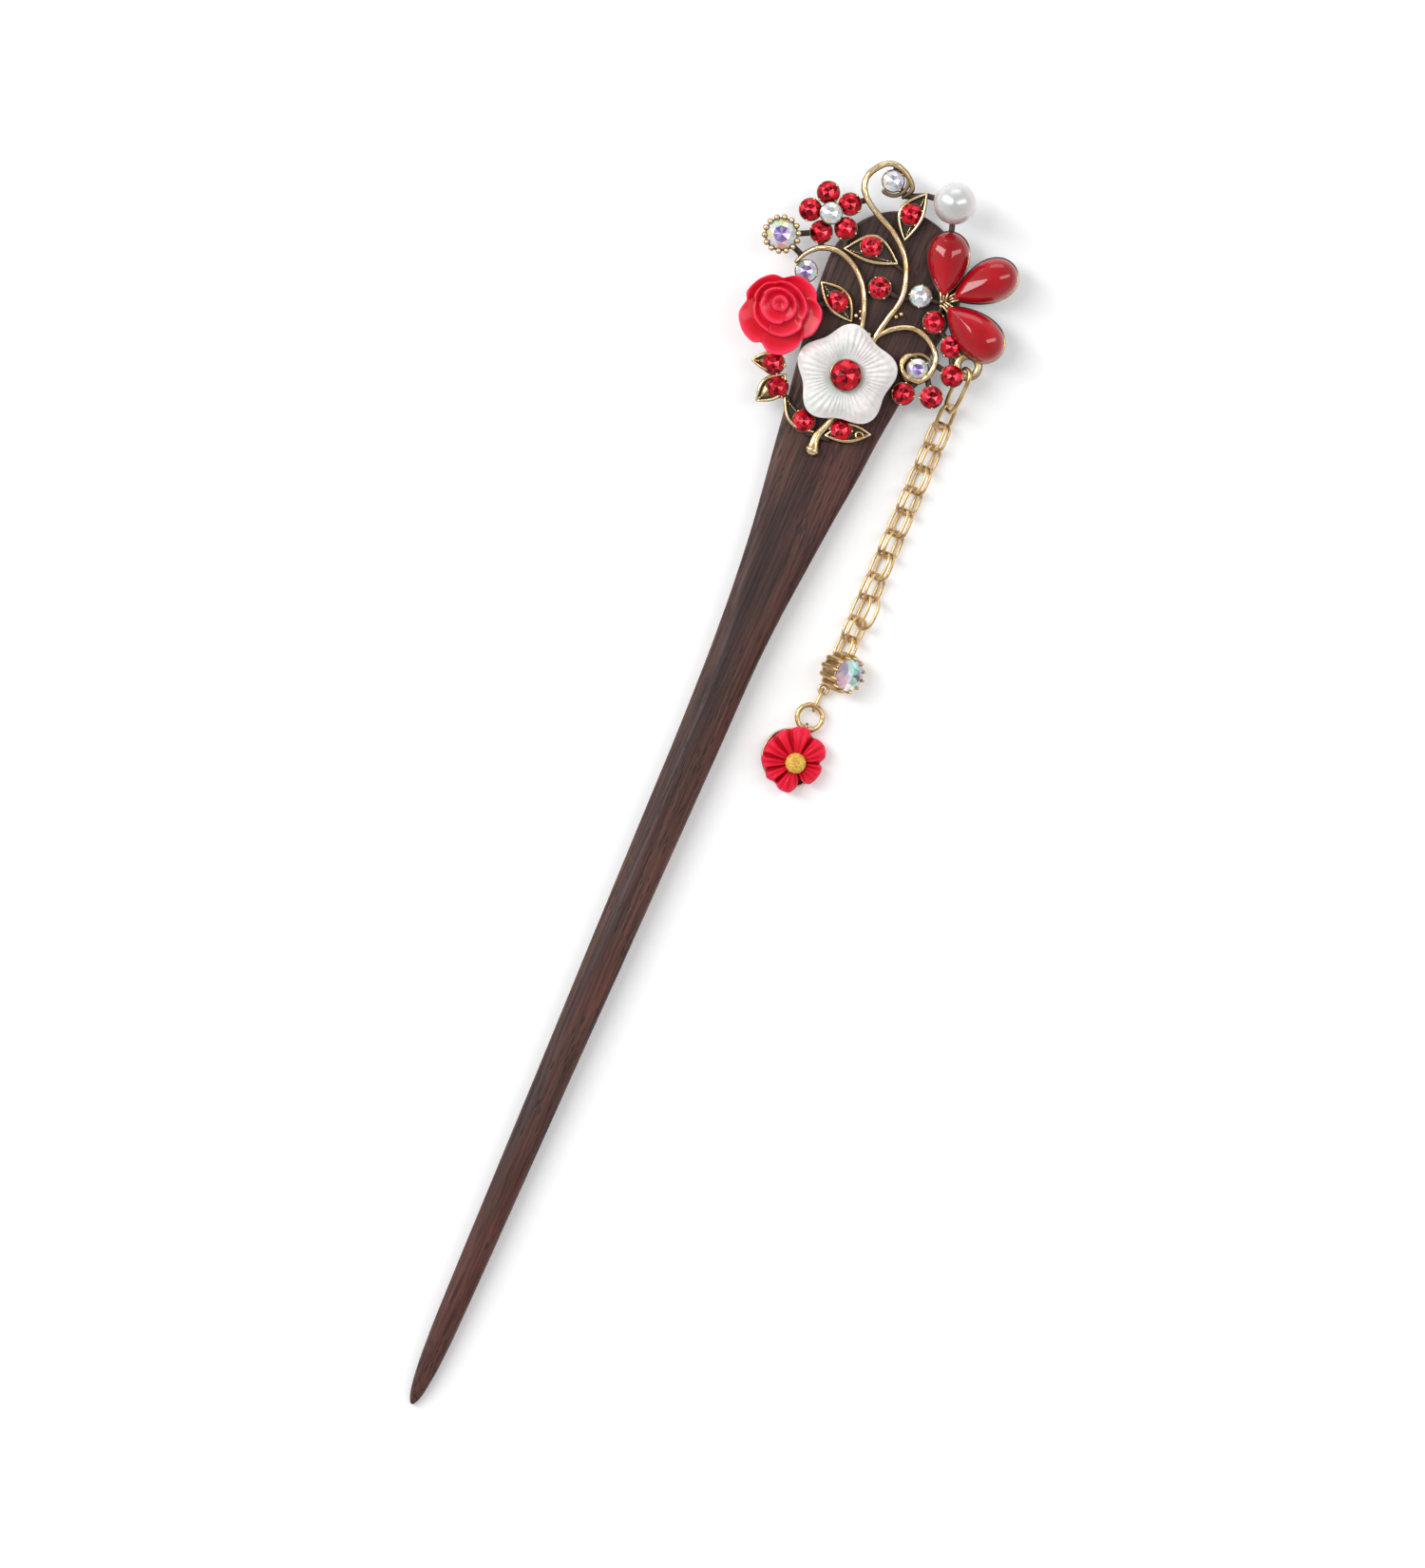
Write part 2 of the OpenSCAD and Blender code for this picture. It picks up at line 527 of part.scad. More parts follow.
module shell_stone() {
    color(RUBY) translate([SHELL.x, SHELL.y, pad_top + RIVET_FLOOR]) stone(SHELL_STONE_D, SHELL_STONE_H);
}

// Pear-shaped dome: the outline of the drop, drawn in as it rises
module drop(drop) {
    along = unit(drop[1] - drop[0]);
    color(CHERRY) translate([0, 0, tray_top]) hull() for (i = [0 : DROP_STEPS]) {
        angle = 80 * i / DROP_STEPS;
        drawn_in = 1 - cos(angle);
        tip = drop[0] + along * DROP_TIP_LEAN * drawn_in;
        translate([0, 0, drop_h * sin(angle)]) linear_extrude(0.05)
            drop_outline([tip, drop[1], drop[2]], -DROP_TAPER * drawn_in);
    }
}

// ---- Chain ----
// Oval ring with flattened ends, long axis along Y
module oval_ring(half_w, half_l, corner, wire) {
    for (sx = [-1, 1], sy = [-1, 1])
        scale([sx, sy, 1]) translate([half_w - corner, half_l - corner, 0])
            rotate_extrude(angle = 90) translate([corner, 0]) circle(d = wire);
    for (sx = [-1, 1]) translate([sx * half_w, 0, 0]) rotate([90, 0, 0])
        cylinder(d = wire, h = 2 * (half_l - corner), center = true);
    if (half_w > corner)
        for (sy = [-1, 1]) translate([0, sy * half_l, 0]) rotate([0, 90, 0])
            cylinder(d = wire, h = 2 * (half_w - corner), center = true);
}

// Turns the long axis of a ring from one end point to the other
module strung(ends, roll) {
    d = ends[0] - ends[1];
    translate((ends[0] + ends[1]) / 2) rotate([atan2(d.z, norm([d.x, d.y])), 0, atan2(-d.x, d.y)])
        rotate([0, roll, 0]) children();
}

module chain_link_1() {
    color(GOLD) strung(LINK_1, LINK_1_ROLL)
        oval_ring(LINK_1_HALF_W, norm(LINK_1[0] - LINK_1[1]) / 2, 1.1, LINK_1_WIRE);
}

module chain_link_2() {
    color(GOLD) strung(LINK_2, ROLL)
        oval_ring(LINK_2_HALF_W, norm(LINK_2[0] - LINK_2[1]) / 2, 0.9, LINK_2_WIRE);
}

module stage(y, side) {
    translate([CHAIN_X, y, CHAIN_Z]) rotate([0, side * ROLL, 0]) children();
}

module chain_pair(i) {
    color(GOLD) stage(CHAIN_START - chain_pitch * i, i % 2 == 0 ? -1 : 1)
        for (s = [-1, 1]) translate([0, 0, s * PAIR_GAP / 2])
            oval_ring(RING_HALF_W, RING_HALF_L, RING_CORNER, ring_wire);
}

module end_ring() {
    color(GOLD) stage(CHAIN_START - chain_pitch * 8, -1) translate([0, 0, PAIR_GAP / 2])
        oval_ring(RING_HALF_W, RING_HALF_L, RING_CORNER, ring_wire);
}

module end_jump_ring() {
    color(GOLD) stage(CHAIN_START - chain_pitch * 8, -1) translate(JUMP_RING_SHIFT)
        oval_ring(JUMP_RING_HALF_W, JUMP_RING_HALF_L, 1.25, JUMP_RING_WIRE);
}

module hanger_rings() {
    color(GOLD) stage(STAGE_10_Y, 1) for (s = [-1, 1]) translate([0, 0, s * PAIR_GAP / 2])
        oval_ring(RING_HALF_W, STAGE_10_HALF_L, RING_CORNER, ring_wire);
}

module charm_crown() {
    r = crown_d / 2;
    color(GOLD) {
        translate(CROWN_CHARM) rotate(CROWN_LEAN) translate([0, 0, -CROWN_H / 2]) {
            difference() {
                cylinder(r = r - 0.2, h = CROWN_H);
                translate([0, 0, CROWN_H - CHARM_SEAT]) cylinder(r = CHARM_STONE_D / 2 + FIT, h = 3);
            }
            for (i = [0 : PRONGS - 1]) rotate(360 / PRONGS * i) translate([r - 0.1, 0, 0.2]) {
                cylinder(r = PRONG_R, h = CROWN_H);
                translate([0, 0, CROWN_H]) sphere(r = PRONG_R);
            }
        }
        stage(STAGE_11_Y, -1) for (s = [-1, 1]) translate([0, 0, s * PAIR_GAP / 2])
            oval_ring(STAGE_11_HALF_W, STAGE_11_HALF_L, RING_CORNER, ring_wire);
        translate(LUG) rotate_extrude() translate([LUG_R, 0]) circle(d = LUG_WIRE);
        translate(LUG + [0.2, 0.6, 0]) rotate(LUG_ARM_TURN) cylinder(d = LUG_WIRE, h = LUG_ARM);
    }
}

module charm_stone() {
    color(PALE) translate(CROWN_CHARM) rotate(CROWN_LEAN)
        translate([0, 0, CROWN_H / 2 - CHARM_SEAT]) stone(CHARM_STONE_D, CHARM_STONE_H);
}

module eye_link() {
    color(GOLD) translate(EYE) rotate([0, 90, 0]) oval_ring(EYE_HALF_W, EYE_HALF_L, EYE_HALF_W, EYE_WIRE);
}

module charm_jump_ring() {
    color(GOLD) translate(JUMP) rotate_extrude() translate([JUMP_R, 0]) circle(d = jump_wire);
}

module daisy_tray() {
    color(GOLD) {
        translate([TRAY.x, TRAY.y, 0]) difference() {
            cylinder(r = TRAY_R, h = TRAY_H);
            translate([0, 0, TRAY_FLOOR]) cylinder(r = TRAY_R - 0.3, h = 1);
        }
        difference() {
            translate([JUMP.x, JUMP.y - JUMP_R, LOW_Z]) rotate([0, 90, 0])
                rotate_extrude() translate([LOOP_R, 0]) circle(d = LOOP_WIRE);
            translate([0, -80, -1]) cube([30, 16.4, 1.3]);
        }
        translate([JUMP.x - LOOP_WIRE / 2, -63.6, 0.3]) cube([LOOP_WIRE, 0.5, 0.45]);
    }
}

module daisy() {
    outline = [for (a = [0 : 5 : 355]) (daisy_r - DAISY_LOBE + DAISY_LOBE * cos(8 * a)) * [cos(a), sin(a)]];
    color(CORAL) translate([DAISY.x, DAISY.y, TRAY_FLOOR]) {
        cylinder(r = DAISY_FOOT_R, h = DAISY_FOOT_H);
        translate([0, 0, DAISY_FOOT_H - 0.05]) linear_extrude(PETAL_T) polygon(outline);
    }
}

module daisy_centre() {
    color([0.93, 0.75, 0.35]) translate(DAISY_HEART) {
        cylinder(r = HEART_R, h = HEART_H / 2);
        translate([0, 0, HEART_H / 2]) cylinder(r1 = HEART_R, r2 = 1, h = HEART_H / 2);
    }
}

// ---- Assembly ----
stick();
glue_pad();
filigree_casting();
crown_setting();
crown_stone();
flower_centre_stone();
for (i = [0 : len(STONES) - 1]) small_stone(SMALL_STONES[i], RUBY);
for (i = [0 : len(PALE_STONES) - 1])
    small_stone(PALE_PLACES[i], PALE);
pearl();
rose();
shell_flower();
shell_rivet();
shell_stone();
drop(DROP_UPPER);  // drop_upper
drop(DROP_RIGHT);  // drop_right
drop(DROP_LOWER);  // drop_lower
chain_link_1();
chain_link_2();
for (i = [0 : len(PAIRS) - 1]) chain_pair(i);
end_ring();
end_jump_ring();
hanger_rings();
charm_crown();
charm_stone();
eye_link();
charm_jump_ring();
daisy_tray();
daisy();
daisy_centre();
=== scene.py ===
# Looks of the hair pin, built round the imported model. Shapes are worked out in millimetres, in the
# model's own frame, and build() turns them into metres.
import math
import random

import bmesh
import bpy
import numpy as np
from mathutils import Euler, Matrix, Vector


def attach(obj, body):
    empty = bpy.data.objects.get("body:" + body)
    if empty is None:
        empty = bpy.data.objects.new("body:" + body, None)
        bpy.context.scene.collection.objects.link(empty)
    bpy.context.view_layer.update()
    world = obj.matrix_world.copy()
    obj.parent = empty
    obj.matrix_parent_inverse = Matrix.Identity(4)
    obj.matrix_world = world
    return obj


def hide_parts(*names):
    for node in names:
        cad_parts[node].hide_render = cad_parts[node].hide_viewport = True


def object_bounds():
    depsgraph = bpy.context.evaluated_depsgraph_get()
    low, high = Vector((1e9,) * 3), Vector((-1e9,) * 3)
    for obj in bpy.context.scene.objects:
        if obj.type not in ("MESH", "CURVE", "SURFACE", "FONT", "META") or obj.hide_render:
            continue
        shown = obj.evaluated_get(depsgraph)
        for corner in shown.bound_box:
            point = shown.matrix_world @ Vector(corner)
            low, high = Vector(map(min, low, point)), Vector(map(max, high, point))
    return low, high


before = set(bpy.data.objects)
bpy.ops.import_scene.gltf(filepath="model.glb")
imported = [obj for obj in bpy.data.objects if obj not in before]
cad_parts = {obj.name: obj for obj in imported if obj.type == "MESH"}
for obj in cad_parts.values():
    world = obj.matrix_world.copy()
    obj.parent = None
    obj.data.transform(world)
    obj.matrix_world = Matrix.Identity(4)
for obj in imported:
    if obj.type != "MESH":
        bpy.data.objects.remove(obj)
cad_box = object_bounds()

MM = 0.001
TAU = 2 * math.pi
UP = np.array([0.0, 0.0, 1.0])
rng = random.Random(11)

# ---- Sizes and places shared with the CAD model ----
CAST_Z = 4.3  # underside of the casting
POCKET_Z = CAST_Z + 0.6
FLOWER_Z = POCKET_Z + 0.65
SEAT_Z = CAST_Z + 1.0
PAD_TOP = CAST_Z + 1.7
TRAY_TOP = CAST_Z + 1.3
STONE_D = 3.0
STONE_H = 1.0
CROWN_STONE = (4.3, 1.6)  # diameter and height
SHELL_STONE = (4.2, 1.5)
CHARM_STONE = (4.6, 1.7)
VINE_R = 0.55
HOOP_R = 1.5  # centre line of the eyelet
HOOP_TUBE_R = 0.56
RIB_R = 0.42
PEARL_R = 3.0
DROP_H = 2.4

# Ornament: places are (x, y)
LEAF_STONES = [(-1.8, 9.5), (-5.2, 3.2), (-6.5, -5.8), (-11.3, -17.3), (-9.5, -20.1), (-4.2, -23),
    (1.1, -22.1)]
CENTRE_STONE = (-1.8, -1.7)
SPRAY_STONES = [(7.1, -3.1), (10.7, -5.3), (12.4, -9), (10.9, -12.9), (7.1, -14)]
FLOWER = (-12.2, 5.2)
PETAL_R = 2.95
PETAL_START = 49  # degrees
UPPER_CURL = (-6, 12.8)
LOWER_CURL = (7.6, -10.1)
RIGHT_PALE = (3.9, -0.5)
ROSE_SIDE = (-12.2, -3.6)
CROWN = (-17.4, -0.3)
PEARL = (3.15, 13.2)
ROSE = (-13.4, -10.6)
SHELL = (-1.3, -14.9)
SHELL_TURN = 104
DROPS = {  # tip, round end, width
    "drop_upper": ((6.9, 0.7), (4.3, 9.4), 5.8),
    "drop_right": ((8.2, 1), (14.7, 8.2), 5.8),
    "drop_lower": ((7.9, -0.4), (17.3, -3.9), 6),
}
# Leaves: tip, base, bulge to the left and to the right of tip to base, over the length
LEAVES = [((-1, 13), (-1.3, 5.8), 0.12, 0.32), ((-8.5, 1.4), (-0.9, 2.4), 0.37, 0.1),
    ((-9.6, -4.2), (-3.6, -7.6), 0.27, 0.18), ((-14.2, -18), (-9.6, -17), 0.29, 0.2),
    ((-11.4, -23), (-9.1, -18.1), 0.26, 0.29), ((-7.9, -21.1), (-2.4, -23.9), 0.06, 0.25),
    ((5.1, -21.1), (-0.6, -23.7), 0.14, 0.24)]
SOLID_LEAVES = (3, 4)
VINE_MAIN = [(0.4, -9.5), (0.4, -7.9), (0.9, -5.3), (1.6, -1.9), (0.8, 1.6), (-0.7, 4.1), (-3.2, 6.2),
    (-5.9, 7.5), (-8.3, 9), (-9.5, 10.7), (-9.4, 12.6), (-8, 14.5), (-6.4, 15), (-4.5, 14.3), (-3.1, 12.8),
    (-3.8, 11.3)]
VINE_LEFT = [(-2, -9.5), (-2, -7.5), (-3, -4.5), (-4.5, -2), (-6.8, -0.1), (-9.3, 0.7), (-11.6, 0.2),
    (-13.2, -1.2), (-14, -2.9)]
VINE_RIGHT = [(0, -9.5), (0.7, -7.8), (2.4, -6.1), (4.6, -5.1), (6.9, -5.5), (8.8, -6.9), (9.5, -8.5),
    (9.3, -10.3), (8.3, -11.6), (6.3, -11.5), (5.2, -10.4), (5.4, -9), (6.6, -8.4)]
VINE_BEADS = [(-2.9, -5.8), (-2.5, -6.7), (-3.3, -6.6), (1.9, -4.5), (2.4, -3.9), (-0.6, -8.3), (0.2, -8.7)]
STEM = [(-0.6, -19.5), (-0.9, -22), (-1.7, -24.2), (-1.5, -26.2)]
EYELET = (13.9, -6.9)
FORK = (7.4, -0.2)

# Chain and charms
CHAIN_X = 13.9
CHAIN_Z = 1.6
CHAIN_START = -17.55
CHAIN_PITCH = 3.29
ROLL = 45  # degrees that the rings of each stage are rolled, one way and then the other
RING_WIRE = 0.44
RING_SQUARE = 3.1
RING_HALF_W = 1.4
RING_HALF_L = 2.0
PAIRS = 8
PAIR_SIDES = (-0.5, 0.5)
HANGER_Y = -47
HANGER_HALF_L = 1.8
END_JUMP = (1.65, 2.3, 2.8, 0.46, (0.45, -0.2, -0.7))  # half sizes, squareness, wire and shift
LINK_1 = ((14.1, -7.35, 5), (13.8, -13.6, 2.75))
LINK_2 = ((13.85, -12.8, 3), (13.9, -16.5, 1.35))
LINKS = [(LINK_1, -50, 1.3, 0.6), (LINK_2, ROLL, 1.35, 0.54)]  # ends, roll, half width and wire
CROWN_CHARM = (14.7, -53.2, 3.2)
CROWN_LEAN = (0, 38, 0)
CROWN_H = 3.4
CROWN_RINGS = (1.35, 1.9)  # half sizes
CROWN_RINGS_Y = -50
LOW_Z = 1.15
LUG = (13.3, -56.4, LOW_Z)
LUG_R = 0.65
LUG_WIRE = 0.44
LUG_ARM = 1.4
EYE = (13.2, -58.1, LOW_Z)
EYE_RING = (0.75, 1.65, 2.5, 0.5)  # half sizes, squareness and wire
ON_EDGE = Matrix.Rotation(math.radians(90), 4, "Y")
JUMP = (13.1, -60.8, LOW_Z)
JUMP_R = 1.77
JUMP_WIRE = 0.75
LOOP_R = 0.75
LOOP_WIRE = 0.4
DAISY_HEART = (13.8, -67.5)
TRAY = (12.9, -67.0)

# Stick: distance from the head, half width, middle, thickness, left bevel, right bevel
STICK_ROWS = [(0.5, 9.8, -0.3, 4, 0.8, 0.8), (5, 9.4, -0.45, 4, 0.8, 0.8), (12, 8.4, -0.6, 4, 0.8, 0.8),
    (16, 7.75, -0.6, 4, 0.8, 0.8), (22, 6.95, -0.5, 4, 0.8, 0.8), (27, 6.4, -0.35, 4.05, 0.8, 0.8),
    (34, 5.5, -0.25, 4.2, 0.8, 0.8), (40, 4.8, -0.15, 4.4, 0.8, 0.9), (48, 4.05, -0.15, 4.6, 1.1, 1),
    (54, 3.65, -0.15, 4.7, 1.6, 1.1), (60, 3.4, -0.1, 4.8, 1.9, 1.2), (70, 3.2, 0, 4.8, 2, 1.2),
    (80, 3.05, 0, 4.8, 1.9, 1.2), (100, 2.75, 0, 4.6, 1.7, 1.1), (120, 2.4, 0, 4.2, 1.4, 1),
    (140, 2.1, 0, 3.7, 1.1, 0.9), (150, 1.95, 0, 3.4, 1, 0.8), (160, 1.75, 0, 2.9, 0.8, 0.7),
    (165, 1.5, 0, 2.5, 0.7, 0.6), (168, 1.2, 0, 2.1, 0.6, 0.5), (170, 0.85, 0, 1.6, 0.4, 0.4),
    (171, 0.5, 0, 1.2, 0.25, 0.25), (171.5, 0.2, 0, 0.9, 0.1, 0.1)]


# ---- Curves and surfaces ----
def smooth(rows, steps):
    """Catmull-Rom curve through rows of numbers, with steps points to each span."""
    rows = [np.array(r, float) for r in rows]
    last = len(rows) - 1
    found = []
    for i in range(last):
        a, b = rows[max(i - 1, 0)], rows[i]
        c, d = rows[i + 1], rows[min(i + 2, last)]
        for k in range(steps):
            t = k / steps
            found.append(0.5 * (2 * b + (c - a) * t + (2 * a - 5 * b + 4 * c - d) * t * t
                                + (3 * b - a - 3 * c + d) * t ** 3))
    found.append(rows[last])
    return np.array(found)


def ease(value, low, high):
    """0 below low, 1 above high, and smooth between them."""
    t = np.clip((value - low) / (high - low), 0, 1)
    return t * t * (3 - 2 * t)


def unit(v):
    return v / np.maximum(np.linalg.norm(v, axis=-1, keepdims=True), 1e-9)


def turn(degrees):
    return np.array([math.cos(math.radians(degrees)), math.sin(math.radians(degrees))])


def at(place, z):
    return np.array([place[0], place[1], z], float)


class Shape:
    """Surfaces gathered into one mesh, with a number at each point that says how bare its gold is.

    On resin the same number sets how pale a lip is, a painted highlight, and below zero how deep a fold is,
    a painted shade."""

    def __init__(self):
        self.points, self.faces, self.bare_gold_and_painted_light = [], [], []

    def add(self, points, faces, bare_gold_and_painted_light=1.0):
        base = len(self.points)
        self.points.extend(map(tuple, points))
        self.faces.extend(tuple(base + k for k in face) for face in faces)
        self.bare_gold_and_painted_light.extend(np.broadcast_to(bare_gold_and_painted_light, len(points)))

    def skin(self, rings, bare_gold_and_painted_light=1.0, loop=False, caps=True):
        """Surface through closed rings. loop joins the last ring to the first."""
        rings = np.asarray(rings)
        count, sides = rings.shape[:2]
        spans = count if loop else count - 1
        faces = [(i * sides + k, i * sides + (k + 1) % sides,
                  (i + 1) % count * sides + (k + 1) % sides, (i + 1) % count * sides + k)
                 for i in range(spans) for k in range(sides)]
        if caps and not loop:
            faces.append(tuple(range(sides - 1, -1, -1)))
            faces.append(tuple((count - 1) * sides + k for k in range(sides)))
        if np.ndim(bare_gold_and_painted_light) == 1 and len(bare_gold_and_painted_light) == count:
            bare_gold_and_painted_light = np.repeat(bare_gold_and_painted_light, sides)
        self.add(rings.reshape(-1, 3), faces, bare_gold_and_painted_light)

    def lathe(self, centre, profile, sides=32, bare_gold_and_painted_light=1.0, wave=None):
        """Surface of revolution: profile is (radius, height) pairs from its bottom to its top."""
        angles = np.arange(sides) * TAU / sides
        rings = []
        for radius, height in profile:
            r = radius * (1 + (wave(angles) if wave else 0 * angles))
            rings.append(np.stack([centre[0] + r * np.cos(angles), centre[1] + r * np.sin(angles),
                                   0 * angles + centre[2] + height], axis=1))
        self.skin(rings, bare_gold_and_painted_light)

    def tube(self, path, radius, sides=12, flat=1.0, closed=False, bare_gold_and_painted_light=1.0, up=UP, square=False):
        """Wire along a path of points, with round ends unless it is closed or its ends are square."""
        path = np.asarray(path, float)
        radius = np.broadcast_to(radius, len(path)).astype(float)
        if closed:
            along = unit(np.roll(path, -1, 0) - np.roll(path, 1, 0))
        else:
            along = unit(np.gradient(path, axis=0))
        if not (closed or square):
            steps = [85, 60, 35]
            start = [path[0] - along[0] * radius[0] * math.sin(math.radians(a)) for a in steps]
            end = [path[-1] + along[-1] * radius[-1] * math.sin(math.radians(a)) for a in steps[::-1]]
            shrink = [math.cos(math.radians(a)) for a in steps]
            path = np.concatenate([start, path, end])
            shrink = np.array(shrink)
            radius = np.concatenate([radius[0] * shrink, radius, radius[-1] * shrink[::-1]])
            along = np.concatenate([along[:1].repeat(3, 0), along, along[-1:].repeat(3, 0)])
            if np.ndim(bare_gold_and_painted_light) == 1:
                bare_gold_and_painted_light = np.concatenate([bare_gold_and_painted_light[:1].repeat(3), bare_gold_and_painted_light, bare_gold_and_painted_light[-1:].repeat(3)])
        side = unit(np.cross(along, up))
        lift = np.cross(side, along)
        angles = np.arange(sides) * TAU / sides
        rings = (path[:, None] + radius[:, None, None] * (np.cos(angles)[None, :, None] * side[:, None]
                 + flat * np.sin(angles)[None, :, None] * lift[:, None]))
        self.skin(rings, bare_gold_and_painted_light, loop=closed)

    def bead(self, centre, radius, bare_gold_and_painted_light=1.0, squash=1.0):
        """Small ball."""
        profile = [(radius * math.cos(math.radians(a)), squash * radius * math.sin(math.radians(a)))
                   for a in range(-84, 85, 24)]
        self.lathe(centre, profile, 14, bare_gold_and_painted_light)


def build(name, shape, body, nodes, material, flat=False, place=None, facets=None):
    """Makes a piece from a shape and ties it to its CAD body and nodes."""
    mesh = bpy.data.meshes.new(name)
    points = np.array(shape.points, float)
    if place is not None:
        points = points @ np.array(place.to_3x3()).T + np.array(place.translation)
    mesh.from_pydata((points * MM).tolist(), [], shape.faces)
    # Bare gold on the casting; on resin, painted highlight on lips and painted shade in folds.
    bare_gold_and_painted_light = mesh.attributes.new("bare_gold_and_painted_light", "FLOAT", "POINT")
    bare_gold_and_painted_light.data.foreach_set("value", np.array(shape.bare_gold_and_painted_light, np.float32))
    if facets is not None:
        tint = mesh.attributes.new("tint", "FLOAT_COLOR", "CORNER")
        values = [c for face, colour in zip(shape.faces, facets) for _ in face for c in colour]
        tint.data.foreach_set("color", np.array(values, np.float32))
    edit = bmesh.new()
    edit.from_mesh(mesh)
    bmesh.ops.recalc_face_normals(edit, faces=edit.faces)
    edit.to_mesh(mesh)
    edit.free()
    mesh.polygons.foreach_set("use_smooth", [not flat] * len(mesh.polygons))
    piece = bpy.data.objects.new(name, mesh)
    bpy.context.scene.collection.objects.link(piece)
    mesh.materials.append(material)
    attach(piece, body)
    if nodes:
        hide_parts(*nodes)


# ---- Materials ----
def colour(red, green, blue):
    """sRGB numbers from 0 to 255 as a linear colour."""
    linear = [((c / 255 + 0.055) / 1.055) ** 2.4 if c > 10 else c / 255 / 12.92 for c in (red, green, blue)]
    return (*linear, 1.0)


class Finish:
    """A Principled material and the nodes that feed it."""

    def __init__(self, name, **sockets):
        self.material = bpy.data.materials.new(name)
        self.material.use_nodes = True
        self.tree = self.material.node_tree
        self.shader = self.tree.nodes["Principled BSDF"]
        self.set(**sockets)

    def set(self, **sockets):
        for name, value in sockets.items():
            self.put(self.shader.inputs[name.replace("_", " ")], value)

    def put(self, socket, value):
        if isinstance(value, bpy.types.NodeSocket):
            self.tree.links.new(value, socket)
        else:
            socket.default_value = value

    def node(self, kind, inputs=(), **settings):
        made = self.tree.nodes.new("ShaderNode" + kind)
        for name, value in settings.items():
            setattr(made, name, value)
        for name, value in dict(inputs).items():
            self.put(made.inputs[name], value)
        return made

    def where(self, scale=(1, 1, 1)):
        """Position on the object in metres, stretched by scale."""
        coords = self.node("TexCoord").outputs["Object"]
        return self.node("Mapping", {"Vector": coords, "Scale": scale}).outputs["Vector"]

    def noise(self, scale, detail=3, vector=None, rough=0.55):
        made = self.node("TexNoise", {"Scale": scale, "Detail": detail, "Roughness": rough,
                                      "Vector": vector or self.where()})
        return made.outputs["Fac"]

    def ramp(self, value, *stops):
        made = self.node("ValToRGB", {"Fac": value})
        ramp = made.color_ramp
        while len(ramp.elements) < len(stops):
            ramp.elements.new(0.5)
        for element, (place, tint) in zip(ramp.elements, stops):
            element.position = place
            element.color = colour(*tint)
        return made.outputs["Color"]

    def range(self, value, low, high, first=0.0, last=1.0):
        made = self.node("MapRange", {"Value": value, "From Min": low, "From Max": high,
                                      "To Min": first, "To Max": last})
        return made.outputs["Result"]

    def sum(self, how, a, b):
        made = self.node("Math", operation=how)
        self.put(made.inputs[0], a)
        self.put(made.inputs[1], b)
        return made.outputs["Value"]

    def mix(self, how, share, a, b):
        made = self.node("Mix", {"Factor": share}, data_type="RGBA", blend_type=how)
        self.put(made.inputs[6], a)
        self.put(made.inputs[7], b)
        return made.outputs[2]

    def open_air(self, reach):
        """1 in the open and lower in recesses, looking as far as reach."""
        return self.node("AmbientOcclusion", {"Distance": reach * MM}, samples=6).outputs["AO"]

    def painted(self, name, output="Fac"):
        return self.node("Attribute", attribute_name=name).outputs[output]

    def soften(self, weight, *reach):
        """Light that goes in: its share, and how far red, green and blue reach."""
        self.set(Subsurface_Weight=weight, Subsurface_Radius=[r * MM for r in reach], Subsurface_Scale=1.0)

    def bump(self, height, distance, strength=1.0, under=None):
        made = self.node("Bump", {"Height": height, "Distance": distance * MM, "Strength": strength})
        if under is not None:
            self.put(made.inputs["Normal"], under)
        return made.outputs["Normal"]


WHITE = (255, 255, 255)


def wood_finish():
    """Dark close-grained wood: long bands, fine streaks along the stick and short dark open pores."""
    f = Finish("dark_wood", Specular_IOR_Level=0.35)
    bands = f.noise(1, 3, f.where((260, 14, 260)))
    streaks = f.noise(1, 5, f.where((2600, 60, 2600)), 0.65)
    hue = f.noise(1, 2, f.where((90, 22, 90)))
    base = f.ramp(bands, (0.3, (50, 31, 28)), (0.5, (78, 51, 44)), (0.72, (108, 72, 60)))
    warm = f.mix("MIX", f.range(hue, 0.45, 0.7, 0, 0.6), base, colour(110, 56, 47))
    fine = f.mix("MULTIPLY", 0.9, warm, f.ramp(streaks, (0.34, (104, 96, 94)), (0.62, WHITE)))
    cells = f.node("TexVoronoi", {"Scale": 1.0, "Vector": f.where((2400, 380, 2400)), "Randomness": 1.0})
    dashes = f.range(cells.outputs["Distance"], 0.18, 0.34)
    patches = f.range(f.noise(1, 2, f.where((170, 40, 170))), 0.44, 0.54)
    pores = f.sum("MULTIPLY", f.sum("SUBTRACT", 1.0, dashes), patches)
    f.set(Base_Color=f.mix("MIX", f.sum("MULTIPLY", pores, 0.85), fine, colour(30, 20, 20)),
          Roughness=f.range(streaks, 0.3, 0.7, 0.62, 0.42))
    height = f.sum("SUBTRACT", f.sum("MULTIPLY", streaks, 0.5), pores)
    f.set(Normal=f.bump(height, 0.07, 0.6))
    return f.material


